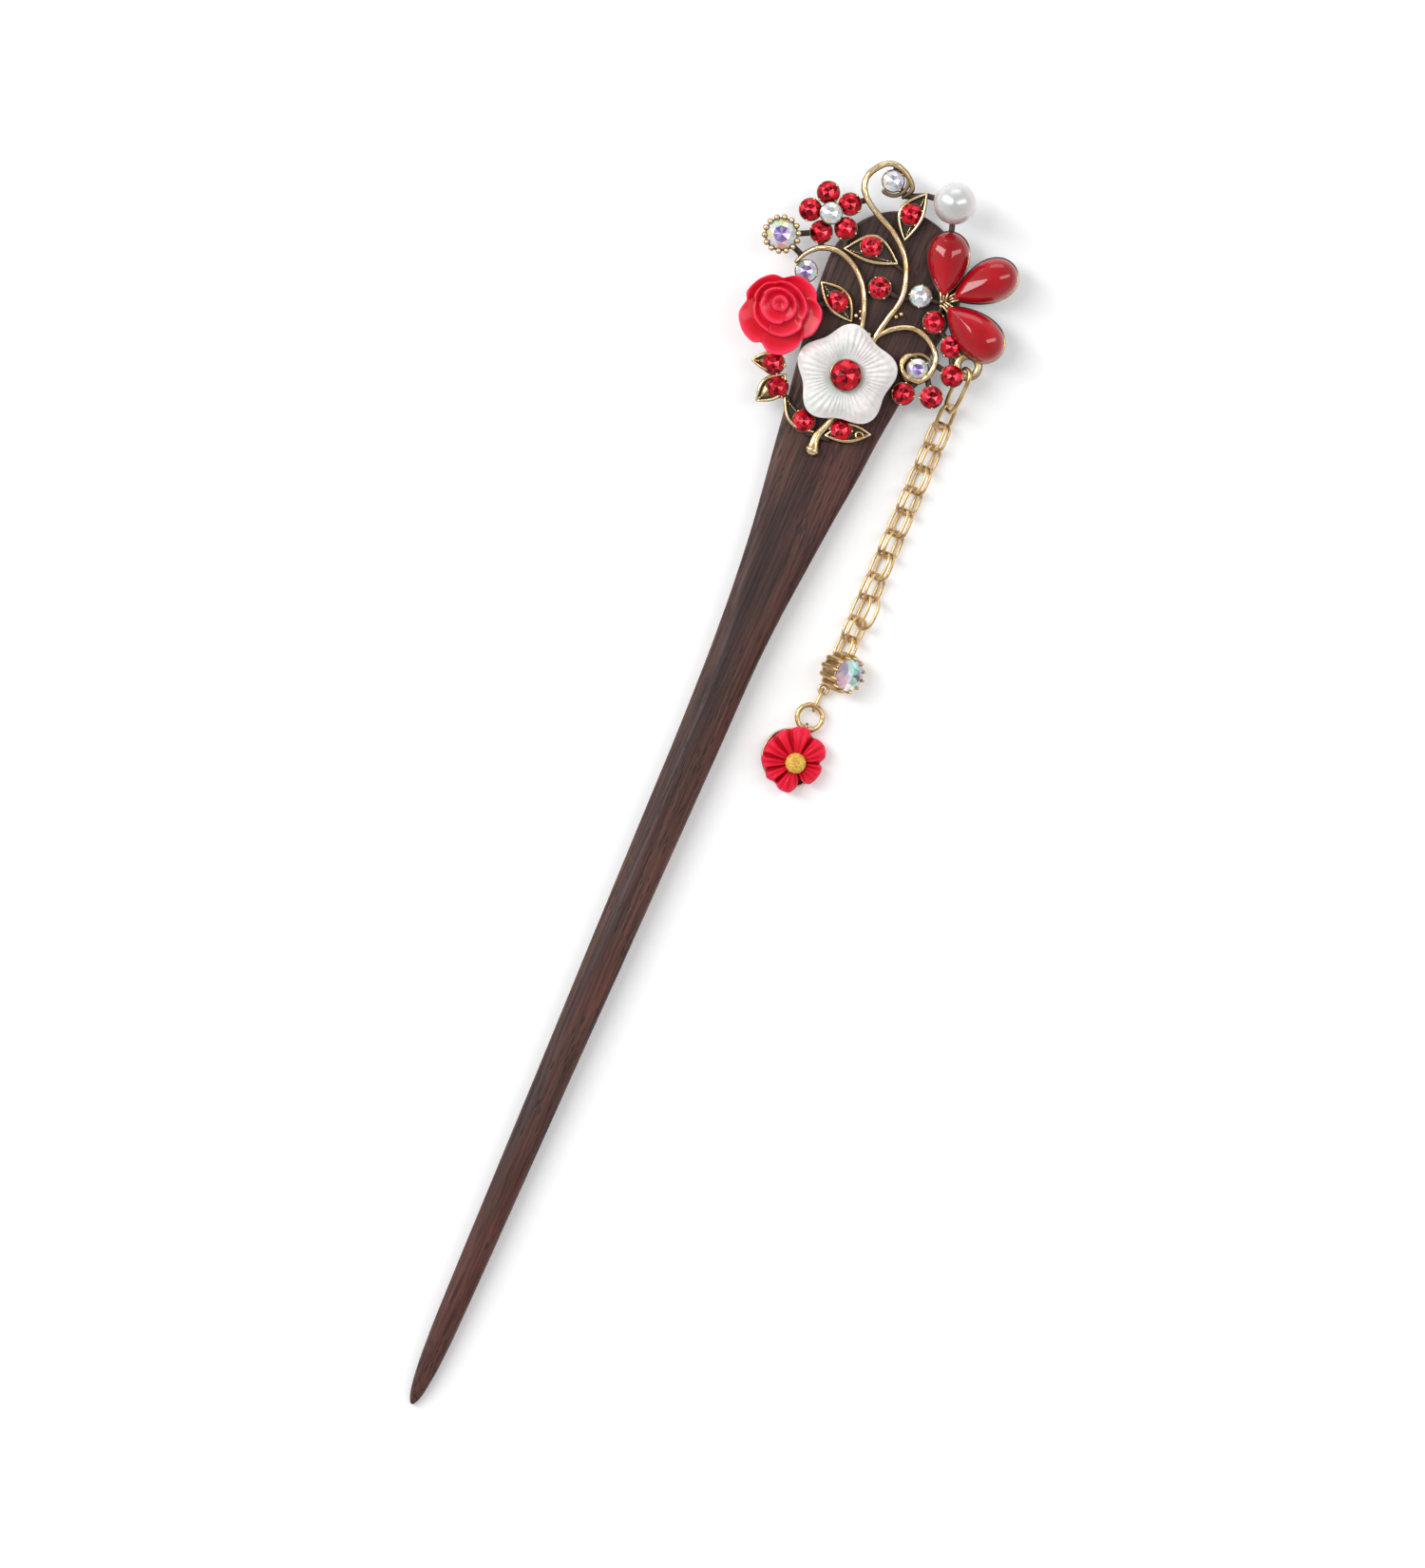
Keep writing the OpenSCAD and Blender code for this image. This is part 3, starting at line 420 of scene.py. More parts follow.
def antique_finish(name, bright, patina, reach):
    """Cast gold that is bare where it faces up, with painted shade on its sides and dark patina in its
    recesses.
    """
    bright, patina = colour(*bright), colour(*patina)
    f = Finish(name)
    # facing: painted shade, the patina colour spreads as a face turns from up to sideways.
    facing = f.node("SeparateXYZ", {"Vector": f.node("TexCoord").outputs["Normal"]}).outputs["Z"]
    open_air = f.open_air(reach)
    bare_gold_and_painted_light = f.painted("bare_gold_and_painted_light")
    spots = f.noise(1100, 4)
    # Gold where a face turns up (painted shade on sideways faces) and lies open (patina in recesses).
    high = f.sum("MULTIPLY", f.range(facing, 0.35, 0.85), f.range(open_air, 0.3, 0.8))
    # Real wear spots and bare gold, mixed with the painted shade of sideways faces.
    worn_and_lit = f.sum("MULTIPLY", f.sum("MULTIPLY", high, bare_gold_and_painted_light), f.range(spots, 0.25, 0.5, 0.6, 1.1))
    tone = f.mix("MIX", f.range(f.noise(420, 2), 0.35, 0.65), bright, colour(250, 224, 178))
    f.set(Base_Color=f.mix("MIX", worn_and_lit, patina, tone),
          Metallic=f.range(worn_and_lit, 0, 0.5, 0.15, 1.0),
          Roughness=f.range(worn_and_lit, 0, 1, 0.5, 0.24),
          Normal=f.bump(f.noise(2600, 3), 0.02, 0.5))
    return f.material


def chain_finish():
    """Warm polished gold wire, with painted shade in dark brown where wire lies close to other wire."""
    f = Finish("chain_gold", Metallic=1.0)
    cloudy = f.noise(700, 3)
    recess = f.open_air(0.35)
    tone = f.mix("MIX", f.range(cloudy, 0.35, 0.65), colour(200, 162, 108), colour(228, 198, 148))
    # Painted shade: the dark brown fills where the wire is hemmed in by other wire.
    f.set(Base_Color=f.mix("MIX", f.range(recess, 0.1, 0.55), colour(118, 80, 42), tone),
          Roughness=f.range(cloudy, 0.3, 0.7, 0.28, 0.4),
          Normal=f.bump(f.noise(1500, 2), 0.008, 0.3))
    return f.material


def gem_finish(name, metal, rough):
    """Foiled glass stone under a clear gloss: each facet has its own tint, the stone's colour with painted
    light and dark reflections.
    """
    f = Finish(name, Coat_Weight=0.25, Coat_Roughness=0.03, Metallic=metal, IOR=1.5)
    tint = f.painted("tint", "Color")
    cloud = f.range(f.noise(900, 2), 0.3, 0.7, 0.82, 1.12)
    shade = f.node("CombineColor", {"Red": cloud, "Green": cloud, "Blue": cloud}).outputs["Color"]
    f.set(Base_Color=f.mix("MULTIPLY", 1.0, tint, shade), Roughness=rough)
    return f.material


def resin_finish(name, tone, deep, lip, rough, soft, coat):
    """Cast resin that light enters a little way, with painted shade deeper in its folds and a painted
    highlight paler at its thin lips.
    """
    tone, deep, lip = colour(*tone), colour(*deep), colour(*lip)
    f = Finish(name, Coat_Weight=coat, Coat_Roughness=0.05, Specular_IOR_Level=0.18)
    f.soften(soft, 0.9, 0.25, 0.2)
    edges = f.painted("bare_gold_and_painted_light")
    folds = f.open_air(1.2)
    cloud = f.noise(260, 3)
    # Painted highlight: the lip colour where the per-point number is high.
    lit = f.mix("MIX", f.range(cloud, 0.3, 0.7, 0, 0.25), f.mix("MIX", edges, tone, lip), deep)
    # Painted shade: the deep colour in folds and where the per-point number falls below zero.
    raised = f.sum("MULTIPLY", f.range(folds, 0.1, 0.75), f.range(edges, -0.6, -0.05))
    f.set(Base_Color=f.mix("MIX", raised, deep, lit),
          Roughness=f.range(cloud, 0.3, 0.7, rough, rough + 0.1),
          Normal=f.bump(f.noise(1700, 3), 0.015, 0.35))
    return f.material


def drop_finish():
    """Deep red polished cabochon with faint clouds inside."""
    f = Finish("cherry_resin", Coat_Weight=1.0, Coat_Roughness=0.02, Roughness=0.3, Specular_IOR_Level=0.1)
    f.soften(0.1, 0.8, 0.1, 0.1)
    cloud = f.noise(190, 4, f.where((1, 1, 2)))
    f.set(Base_Color=f.ramp(cloud, (0.3, (144, 1, 14)), (0.55, (170, 3, 20)), (0.75, (192, 8, 28))),
          Normal=f.bump(f.noise(240, 1), 0.05, 0.12))
    return f.material


def pearl_finish():
    """Glass pearl: soft white nacre with a faint rosy and green play of colour."""
    f = Finish("pearl", Coat_Weight=0.8, Coat_Roughness=0.2, Metallic=0.4)
    f.soften(0.2, 1.0, 0.9, 0.8)
    play = f.noise(220, 2)
    f.set(Base_Color=f.ramp(play, (0.3, (196, 202, 200)), (0.5, (210, 208, 207)),
                            (0.7, (216, 202, 206))),
          Roughness=f.range(f.noise(500, 3), 0.3, 0.7, 0.26, 0.36),
          Normal=f.bump(f.noise(650, 3), 0.01, 0.15))
    return f.material


def shell_finish():
    """Carved mother-of-pearl: milky white with pale pink and green clouds and a silky gloss."""
    f = Finish("mother_of_pearl", Coat_Weight=0.5, Coat_Roughness=0.15)
    f.soften(0.35, 1.2, 1.0, 0.9)
    play = f.noise(170, 3)
    silk = f.noise(1, 4, f.where((900, 900, 300)))
    tone = f.ramp(play, (0.3, (214, 224, 218)), (0.48, (230, 229, 226)), (0.62, (236, 226, 226)),
                  (0.78, (224, 220, 232)))
    f.set(Base_Color=f.mix("MULTIPLY", 0.35, tone, f.ramp(silk, (0.3, (214, 214, 212)), (0.6, WHITE))),
          Roughness=f.range(silk, 0.3, 0.7, 0.22, 0.4),
          Normal=f.bump(silk, 0.02, 0.15))
    return f.material


def centre_finish():
    """Yellow resin dome with a grainy top."""
    f = Finish("yellow_resin")
    f.soften(0.2, 0.6, 0.4, 0.2)
    grain = f.noise(2400, 4)
    f.set(Base_Color=f.ramp(grain, (0.35, (206, 140, 48)), (0.6, (238, 196, 84))),
          Roughness=f.range(grain, 0.3, 0.7, 0.5, 0.3),
          Normal=f.bump(grain, 0.08, 0.6))
    return f.material


def adhesive_finish():
    """Clear set glue, a little cloudy."""
    f = Finish("adhesive", Transmission_Weight=0.6, IOR=1.48)
    cloud = f.noise(800, 3)
    f.set(Base_Color=f.ramp(cloud, (0.3, (226, 220, 198)), (0.7, (240, 238, 226))),
          Roughness=f.range(cloud, 0.3, 0.7, 0.25, 0.5))
    return f.material


def floor_finish():
    """Pale matt studio floor."""
    f = Finish("floor", Roughness=0.9, Specular_IOR_Level=0.1, Emission_Strength=0.13,
               Emission_Color=colour(*WHITE))
    f.set(Base_Color=f.ramp(f.noise(6, 2), (0.3, (243, 243, 243)), (0.7, (246, 246, 246))))
    return f.material


WOOD = wood_finish()
ANTIQUE = antique_finish("antique_gold", (234, 194, 134), (46, 30, 22), 0.9)
DARK_WARM = antique_finish("aged_gold", (224, 180, 116), (74, 46, 24), 0.6)
WARM = chain_finish()
RUBY = gem_finish("ruby_stone", 0.75, 0.2)
PALE = gem_finish("pale_stone", 0.6, 0.16)
# Resin colours: tone; deep, a darker tone and the painted shade in folds; lip, the painted highlight on
# lips.
CORAL = resin_finish("coral_resin", (220, 6, 38), (172, 0, 20), (252, 64, 100), 0.36, 0.3, 0.25)
MATT_CORAL = resin_finish("coral_resin_matt", (226, 16, 50), (176, 2, 24), (240, 52, 88), 0.42, 0.3, 0.05)
CHERRY = drop_finish()
NACRE = pearl_finish()
MOTHER_OF_PEARL = shell_finish()
YELLOW = centre_finish()
GLUE = adhesive_finish()


# ---- Stick ----
def round_off(corners, reach, steps=4):
    """Outline with each corner turned into a short curve."""
    corners = np.array(corners, float)
    found = []
    for i, corner in enumerate(corners):
        before, after = corners[i - 1] - corner, corners[(i + 1) % len(corners)] - corner
        start = corner + before * min(reach / max(np.linalg.norm(before), 1e-6), 0.45)
        end = corner + after * min(reach / max(np.linalg.norm(after), 1e-6), 0.45)
        for k in range(steps + 1):
            t = k / steps
            found.append((1 - t) ** 2 * start + 2 * t * (1 - t) * corner + t * t * end)
    return np.array(found)


def stick_ring(row, shift=0.0):
    """Section of the stick: small bevels below and wider ones above, all softened."""
    distance, h, x, t, left, right = row
    e = min(0.6, 0.35 * h, 0.3 * t)
    slope = 0.8
    corners = [(x - h + e, 0), (x + h - e, 0), (x + h, e), (x + h, t - right * slope), (x + h - right, t),
               (x - h + left, t), (x - h, t - left * slope), (x - h, e)]
    outline = round_off(corners, min(0.55, 0.4 * h))
    return np.column_stack([outline[:, 0], np.full(len(outline), shift - distance), outline[:, 1]])


def make_stick():
    rings = []
    first = STICK_ROWS[0]
    steps, rise = 28, 10.5  # rings round the end of the head, and how far it reaches
    for i in range(steps, 0, -1):
        angle = math.radians(88.5 * i / steps)
        near = 1 - math.cos(angle)
        h = first[1] * math.cos(angle)
        bevel = min(first[4], 0.5 * h)
        rings.append(stick_ring((first[0], h, first[2], first[3] - 0.3 * near ** 6, bevel, bevel),
                                rise * math.sin(angle)))
    rings += [stick_ring(row) for row in smooth(STICK_ROWS, 14)]
    shape = Shape()
    shape.skin(rings)
    build("stick_wood", shape, "pin", ["stick"], WOOD)


# ---- Casting ----
def vine_path(points, rise):
    flat_path = smooth(points, 10)
    share = np.linspace(0, math.pi, len(flat_path))
    z = CAST_Z + VINE_R - 0.05 + rise * np.sin(share)
    return np.column_stack([flat_path, z])


def add_vine(shape, points, rise, fade=-5):
    """Hammered wire. fade is how many of its last steps lose their bare gold."""
    path = vine_path(points, rise)
    steps = np.arange(len(path))
    hammered = 1 + 0.03 * np.sin(steps * 0.9) + 0.025 * np.sin(steps * 0.37 + 1)
    taper = 0.72 + 0.28 * ease(len(path) - steps, 0, 25)
    shape.tube(path, 0.43 * hammered * taper, 14, flat=1.15, bare_gold_and_painted_light=ease(steps[::-1], -6, fade))


def leaf_side(leaf, bulge, steps=16):
    tip, base = np.array(leaf[0], float), np.array(leaf[1], float)
    along = base - tip
    across = bulge * np.array([-along[1], along[0]])
    share = np.linspace(0, 1, steps + 1)[:, None]
    return tip + along * share + across * np.sin(math.pi * share)


def add_leaf(shape, leaf, solid):
    """Leaf: a sunk floor inside a thin bright rim, with a vein and beads at its ends."""
    left, right = leaf_side(leaf, leaf[2]), leaf_side(leaf, -leaf[3])
    outline = np.concatenate([left, right[-2:0:-1]])
    middle = outline.mean(0)
    top = CAST_Z + (1.0 if solid else 0.45)
    rings = [at_all(outline, CAST_Z), at_all(outline, CAST_Z + 0.42),
             at_all(middle + (outline - middle) * 0.86, CAST_Z + 0.5),
             at_all(middle + (outline - middle) * 0.35, top)]
    shape.skin(rings, bare_gold_and_painted_light=[0.05, 0.2, 0.3, 0.9] if solid else [0.05, 0.1, 0.0, 0.0])
    swell = np.sin(np.linspace(0, math.pi, len(left)))
    for half, bulge in ((left, leaf[2]), (right, leaf[3])):
        if bulge > 0.08:
            rim = np.column_stack([half, CAST_Z + 0.82 + 0.14 * swell])
            shape.tube(rim, 0.16 + 0.1 * swell, 10, flat=1.2)
    vein = left[0] + (left[-1] - left[0]) * np.linspace(0.06, 0.94, 9)[:, None]
    shape.tube(at_all(vein, top + 0.06), 0.11, 8, bare_gold_and_painted_light=0.6)
    for share in (0.11, 0.18, 0.82, 0.89):
        spot = left[0] + (left[-1] - left[0]) * share
        shape.bead(at(spot, top + 0.12), 0.17, 0.9)


def at_all(outline, z):
    return np.column_stack([outline, np.full(len(outline), float(z))])


# Stone cup: radius beyond the stone's, height and bareness, from its foot over its lip
CUP = [(-0.3, 0, 0.0), (0.08, 0.3, 0.05), (0.15, 0.62, 0.1), (0.16, 0.84, 0.25), (0.1, 0.91, 0.4),
    (0.03, 0.91, 0.3), (0.02, 0.6, 0.1)]


def add_cup(shape, place, sides=28):
    """Stone cup: tapered wall and a thin turned-in lip with four small claws."""
    wall = STONE_D / 2
    profile = [(wall + r, z) for r, z, _ in CUP]
    shape.lathe(at(place, CAST_Z), profile, sides, bare_gold_and_painted_light=[bare_gold_and_painted_light for _, _, bare_gold_and_painted_light in CUP])
    spin = rng.uniform(0, 90)
    for k in range(4):
        spot = np.array(place) + (wall + 0.06) * turn(spin + 90 * k)
        shape.bead(at(spot, CAST_Z + 0.95), 0.19, 1.0, 0.8)


def add_rib(shape, start, end, bare_gold_and_painted_light=0.03):
    """Dark cast bar between two places."""
    path = smooth([at(start, CAST_Z + 0.3), (at(start, CAST_Z + 0.36) + at(end, CAST_Z + 0.36)) / 2,
                   at(end, CAST_Z + 0.3)], 4)
    shape.tube(path, RIB_R, 10, flat=0.8, bare_gold_and_painted_light=bare_gold_and_painted_light)


def pear(drop, grow=0.0, count=64):
    """Teardrop outline and the middle of its round end."""
    tip, end = np.array(drop[0], float), np.array(drop[1], float)
    length = np.linalg.norm(end - tip)
    along = (end - tip) / length
    across = np.array([-along[1], along[0]])
    t = (np.arange(count) + 0.5) * TAU / count
    half = np.sin(t) * np.abs(np.sin(t / 2)) ** 0.75
    half = half / half.max() * (drop[2] / 2 + grow)
    run = (1 - np.cos(t)) / 2 * (length + 2 * grow) - grow
    middle = tip + along * (length - drop[2] / 2)
    return tip + run[:, None] * along + half[:, None] * across, middle


def add_tray(shape, drop):
    """Shallow tray under a drop. Only its lower right edge is gold; elsewhere it takes the dark colour."""
    outline, middle = pear(drop, 0.2)
    inner, _ = pear(drop, -0.15)
    low_right = ease(unit(outline - middle) @ turn(-22), 0.1, 0.9)
    rings = [at_all(outline, CAST_Z), at_all(outline, CAST_Z + 0.9),
             at_all(pear(drop, 0.16)[0], TRAY_TOP - 0.02), at_all(pear(drop, 0.04)[0], TRAY_TOP + 0.02),
             at_all(inner, TRAY_TOP - 0.02)]
    shape.skin(rings, bare_gold_and_painted_light=np.concatenate([low_right * share for share in (0.2, 0.7, 1.0, 1.0, 0.5)]))


def add_fork(shape):
    """Ribbed claws where the three drops meet."""
    for drop in DROPS.values():
        tip, end = np.array(drop[0]), np.array(drop[1])
        along = (end - tip) / np.linalg.norm(end - tip)
        across = np.array([-along[1], along[0]])
        for k in (-1, 0, 1):
            near = tip - along * 0.9 + across * 0.28 * k
            far = tip + along * 0.55 + across * 0.5 * k
            path = smooth([at(near, TRAY_TOP - 0.25), at((near + far) / 2, TRAY_TOP + 0.32),
                           at(far, TRAY_TOP + 0.3)], 4)
            shape.tube(path, 0.17, 8)
    for k in range(5):
        spot = np.array(FORK) + 0.55 * turn(72 * k + 20)
        shape.bead(at(spot, TRAY_TOP + 0.02), 0.28)


def curl(centre, start, end, radius, shrink, z):
    """Open circle that tightens as it goes, for the second turn of a curl."""
    angles = np.linspace(start, end, 30)
    radii = np.linspace(radius, radius * shrink, 30)
    return np.array([at(np.array(centre) + r * turn(a), z) for a, r in zip(angles, radii)])


PETAL_STONES = [tuple(np.array(FLOWER) + PETAL_R * turn(PETAL_START + 72 * i)) for i in range(5)]
SMALL_STONES = LEAF_STONES + [CENTRE_STONE] + SPRAY_STONES + PETAL_STONES
PALE_PLACES = [UPPER_CURL, LOWER_CURL, RIGHT_PALE, ROSE_SIDE]
RIBS = [(CROWN, PETAL_STONES[3]), (PETAL_STONES[3], (-11.6, 0.2)), (PETAL_STONES[4], (-8.4, 1.4)),
    (PETAL_STONES[0], (-8.3, 9)), (UPPER_CURL, (-3.4, 11.6)), ((-3.4, 11.6), (-0.8, 12.8)),
    ((-0.8, 12.8), PEARL), (PEARL, (4.7, 8.3)), ((-0.9, 2.2), (0.8, 1.7)), (CENTRE_STONE, (1.6, -1.9)),
    (CENTRE_STONE, (-3.7, -3.3)), (RIGHT_PALE, (1.6, -1.9)), (RIGHT_PALE, FORK), (FORK, (6.8, 1.2)),
    (FORK, (8.8, 1.6)), (FORK, (8.8, -0.8)), (FORK, SPRAY_STONES[0]), (SPRAY_STONES[0], SPRAY_STONES[1]),
    (SPRAY_STONES[1], SPRAY_STONES[2]), (SPRAY_STONES[3], (9.3, -10.6)), (SPRAY_STONES[4], (8.3, -11.6)),
    (SPRAY_STONES[2], (9.5, -8.5)), (ROSE, ROSE_SIDE), (ROSE, LEAF_STONES[3]), (ROSE, SHELL),
    (ROSE, LEAF_STONES[2]), (LEAF_STONES[3], LEAF_STONES[4]), (LEAF_STONES[4], (-7.4, -21.2)),
    ((-3, -24.4), (-1.7, -24.2)), ((-0.2, -24), (-1.7, -24.2)), ((-1, -12), (-2, -8.5)),
    ((-1, -12), (0.6, -8.5)), (CROWN, (-13.6, -1.8)), (UPPER_CURL, (-6.4, 15)), (LOWER_CURL, (6.3, -11.5))]


def make_casting():
    shape = Shape()
    for place in SMALL_STONES + PALE_PLACES:
        add_cup(shape, place)
    for start, end in RIBS + [(FLOWER, p) for p in PETAL_STONES]:
        add_rib(shape, start, end)
    for i, leaf in enumerate(LEAVES):
        add_leaf(shape, leaf, i in SOLID_LEAVES)
    for drop in DROPS.values():
        add_tray(shape, drop)
    add_fork(shape)
    add_vine(shape, VINE_MAIN, 0.8, 42)
    add_vine(shape, VINE_LEFT, 0.7)
    add_vine(shape, VINE_RIGHT, 0.5)
    shape.tube(curl(UPPER_CURL, 60, -110, 2.2, 0.9, CAST_Z + 0.8), 0.3, 10, bare_gold_and_painted_light=0.2)
    shape.tube(curl(LOWER_CURL, 40, 250, 2.15, 1.0, CAST_Z + 0.75), 0.24, 10, bare_gold_and_painted_light=0.5)
    shape.tube(curl((3.7, -21.9), 20, 330, 0.62, 0.45, CAST_Z + 0.8), 0.19, 10)
    foot = at_all(smooth(STEM, 8), CAST_Z + 0.62)
    swell = np.interp(np.arange(len(foot)), [0, 14, 20, len(foot) - 1], [0.46, 0.56, 0.68, 0.95])
    shape.tube(foot, swell, 16, flat=0.85)
    foot_end = foot[-1] + [[0.02, 0.15, 0], [0, -0.1, 0], [-0.02, -0.32, 0]]
    shape.tube(foot_end, [0.98, 1.04, 1.0], 18, flat=0.8, square=True)
    for spot in VINE_BEADS:
        shape.bead(at(spot, CAST_Z + 0.75), 0.36)
    angles = np.arange(48) * TAU / 48
    ring = np.array(EYELET) + HOOP_R * np.column_stack([np.cos(angles), np.sin(angles)])
    shape.tube(at_all(ring, CAST_Z + 0.57), HOOP_TUBE_R, 14, flat=0.85, closed=True, bare_gold_and_painted_light=0.6)
    add_seats(shape)
    build("gold_casting", shape, "pin", ["filigree_casting"], ANTIQUE)


def add_seats(shape):
    """Cup of the flower's middle stone, and the discs under the bigger pieces."""
    rim = STONE_D / 2
    cup = [(0.9, 0), (0.9, 0.85), (rim + 0.12, 1.2), (rim + 0.14, 1.5), (rim + 0.08, 1.6), (rim + 0.02, 1.6),
           (rim, 1.3)]
    shape.lathe(at(FLOWER, CAST_Z), cup, 32, bare_gold_and_painted_light=0.5)
    shape.lathe(at(CROWN, CAST_Z), [(1.6, 0), (1.6, 1.0)], 24, bare_gold_and_painted_light=0.1)
    shape.lathe(at(SHELL, CAST_Z), [(3.8, 0), (3.9, 0.9), (3.8, 1.7)], 32, bare_gold_and_painted_light=0.1)
    shape.lathe(at(ROSE, CAST_Z), [(2.6, 0), (2.6, 1.7)], 32, bare_gold_and_painted_light=0.1)
    shape.lathe(at(PEARL, CAST_Z), [(1.5, 0), (1.7, 0.6), (1.5, 1.1)], 24, bare_gold_and_painted_light=0.4)


# ---- Stones ----
def colours(*tints):
    return [colour(*tint) for tint in tints]


# Facet tints: each stone's own colour, with painted light and dark reflections and glints from facet to
# facet.
RUBY_TINTS = colours((230, 16, 42), (206, 8, 32), (166, 2, 22), (104, 0, 12), (244, 60, 84), (190, 4, 28))
PALE_TINTS = colours((244, 242, 240), (214, 206, 234), (196, 238, 226), (250, 236, 206), (186, 190, 200),
    (240, 212, 224), (222, 236, 246), (236, 238, 232))
VIOLET_TABLE = colours((160, 138, 204), (130, 108, 182), (196, 184, 226), (150, 126, 190))
# Round the charm's stone in steps of 45 degrees, patches of painted reflection over its pale colour
CHARM_TINTS = colours((132, 136, 148), (176, 170, 202), (158, 242, 212), (208, 238, 232), (206, 196, 222),
    (242, 202, 214), (246, 240, 238), (196, 224, 212))
CROWN_TINTS = colours((244, 240, 236), (206, 208, 218), (252, 232, 214), (204, 244, 224), (238, 240, 178),
    (236, 222, 236))


def gem(diameter, height, tints, table_tints=None):
    """Brilliant-cut stone with a flat back: points, faces and a tint for each face, its colour with a
    painted reflection.
    """
    shape = Shape()
    r = diameter / 2
    spin = rng.uniform(0, 45)

    def ring(count, radius, z, offset=0.0):
        return [at(radius * turn(spin + offset + 360 / count * k), z) for k in range(count)]

    base = ring(16, r, 0)
    girdle_z = 0.5 * height
    girdle = ring(16, r, girdle_z)
    waist = ring(8, 0.81 * r, girdle_z + 0.42 * (height - girdle_z), 22.5)
    table = ring(8, 0.56 * r, height)
    star = ring(8, 0.3 * r, height - 0.02 * diameter, 22.5)
    centre = [at((0, 0), height - 0.045 * diameter)]
    points = base + girdle + waist + table + star + centre
    g, w, t, s = 16, 32, 40, 48
    faces = [tuple(range(15, -1, -1))]
    faces += [(k, (k + 1) % 16, g + (k + 1) % 16, g + k) for k in range(16)]
    for k in range(8):
        after, before = (k + 1) % 8, (k - 1) % 8
        faces.append((g + 2 * k, g + 2 * k + 1, w + k))
        faces.append((g + 2 * k + 1, g + (2 * k + 2) % 16, w + k))
        faces.append((g + 2 * k, w + k, t + k, w + before))
        faces.append((w + k, t + after, t + k))
    crown_faces = len(faces)
    for k in range(8):
        after, before = (k + 1) % 8, (k - 1) % 8
        faces.append((t + k, t + after, s + k))
        faces.append((t + k, s + k, 56, s + before))
    shape.add(points, faces)
    tones = [rng.choice(tints) for _ in faces[:crown_faces]]
    tones += [rng.choice(table_tints or tints) for _ in faces[crown_faces:]]
    return shape, tones


def set_stone(name, place, z, material, size=(STONE_D, STONE_H), tints=RUBY_TINTS, table=None):
    shape, tones = gem(*size, tints, table)
    build(name + "_cut", shape, "pin", [name], material, flat=True,
          place=Matrix.Translation((place[0], place[1], z)), facets=tones)


def make_stones():
    names = ["leaf_stone_" + c for c in "abcdefg"] + ["centre_stone"]
    names += [f"spray_stone_{i}" for i in range(1, 6)] + [f"petal_stone_{i}" for i in range(1, 6)]
    for name, place in zip(names, SMALL_STONES):
        set_stone(name, place, POCKET_Z, RUBY)
    pale = ["upper_curl_stone", "lower_curl_stone", "right_pale_stone", "rose_side_stone"]
    tables = [None, VIOLET_TABLE, None, VIOLET_TABLE]
    for name, place, table in zip(pale, PALE_PLACES, tables):
        set_stone(name, place, POCKET_Z, PALE, tints=PALE_TINTS, table=table)
    set_stone("flower_centre_stone", FLOWER, FLOWER_Z, PALE, tints=PALE_TINTS)
    set_stone("crown_stone", CROWN, SEAT_Z + 0.8, PALE, CROWN_STONE, CROWN_TINTS, VIOLET_TABLE)
    set_stone("shell_stone", SHELL, PAD_TOP + 1.6, RUBY, SHELL_STONE)


# Settings turned on a lathe: radius, height and bareness, from the foot over the lip to the pocket
CROWN_CUP = [(1.9, 0, 0.1), (2.3, 0.15, 0.3), (2.4, 0.5, 0.4), (2.45, 1.1, 0.5), (2.4, 1.4, 0.9),
    (2.22, 1.45, 1.0), (2.17, 0.8, 0.3), (0.3, 0.8, 0.1)]
RIVET = [(0.8, -1.2, 0.1), (0.8, 1.0, 0.1), (2.2, 1.0, 0.2), (2.3, 1.15, 0.3), (2.3, 1.9, 0.5),
    (2.22, 2.0, 0.6), (2.12, 2.0, 0.5), (2.1, 1.6, 0.2), (0.3, 1.6, 0.1)]
CROWN_BEADS = 14


def turned(shape, centre, rows, sides, wave=None):
    shape.lathe(centre, [row[:2] for row in rows], sides, bare_gold_and_painted_light=[row[2] for row in rows], wave=wave)


def make_crown_setting():
    shape = Shape()
    turned(shape, at(CROWN, SEAT_Z), CROWN_CUP, 56, wave=lambda a: 0.03 * np.cos(CROWN_BEADS * a))
    for k in range(CROWN_BEADS):
        spot = np.array(CROWN) + 2.4 * turn(360 / CROWN_BEADS * k)
        shape.bead(at(spot, SEAT_Z + 1.55), 0.42)
    build("crown_setting_beaded", shape, "pin", ["crown_setting"], ANTIQUE)


def make_rivet():
    shape = Shape()
    turned(shape, at(SHELL, PAD_TOP), RIVET, 40)
    build("shell_rivet_turned", shape, "pin", ["shell_rivet"], ANTIQUE)


# ---- Pearl, drops and flowers ----
def make_pearl():
    shape = Shape()
    middle = SEAT_Z + PEARL_R - 0.1
    profile = [(PEARL_R * math.cos(math.radians(a)), PEARL_R * math.sin(math.radians(a)))
               for a in np.linspace(-75, 89.5, 48)]
    shape.lathe(at(PEARL, middle), profile, 72)
    build("pearl_bead", shape, "pin", ["pearl"], NACRE)


def make_drops():
    for name, drop in DROPS.items():
        shape = Shape()
        outline, middle = pear(drop)
        rings = [at_all(outline, TRAY_TOP), at_all(outline, TRAY_TOP + 0.12)]
        for i in range(1, 22):
            angle = math.radians(88.5 * i / 21)
            rings.append(at_all(middle + (outline - middle) * math.cos(angle) ** 0.92,
                                TRAY_TOP + 0.12 + (DROP_H - 0.12) * math.sin(angle)))
        shape.skin(rings)
        build(name + "_cabochon", shape, "pin", [name], CHERRY)


BUD = (-13.7, -9.5)
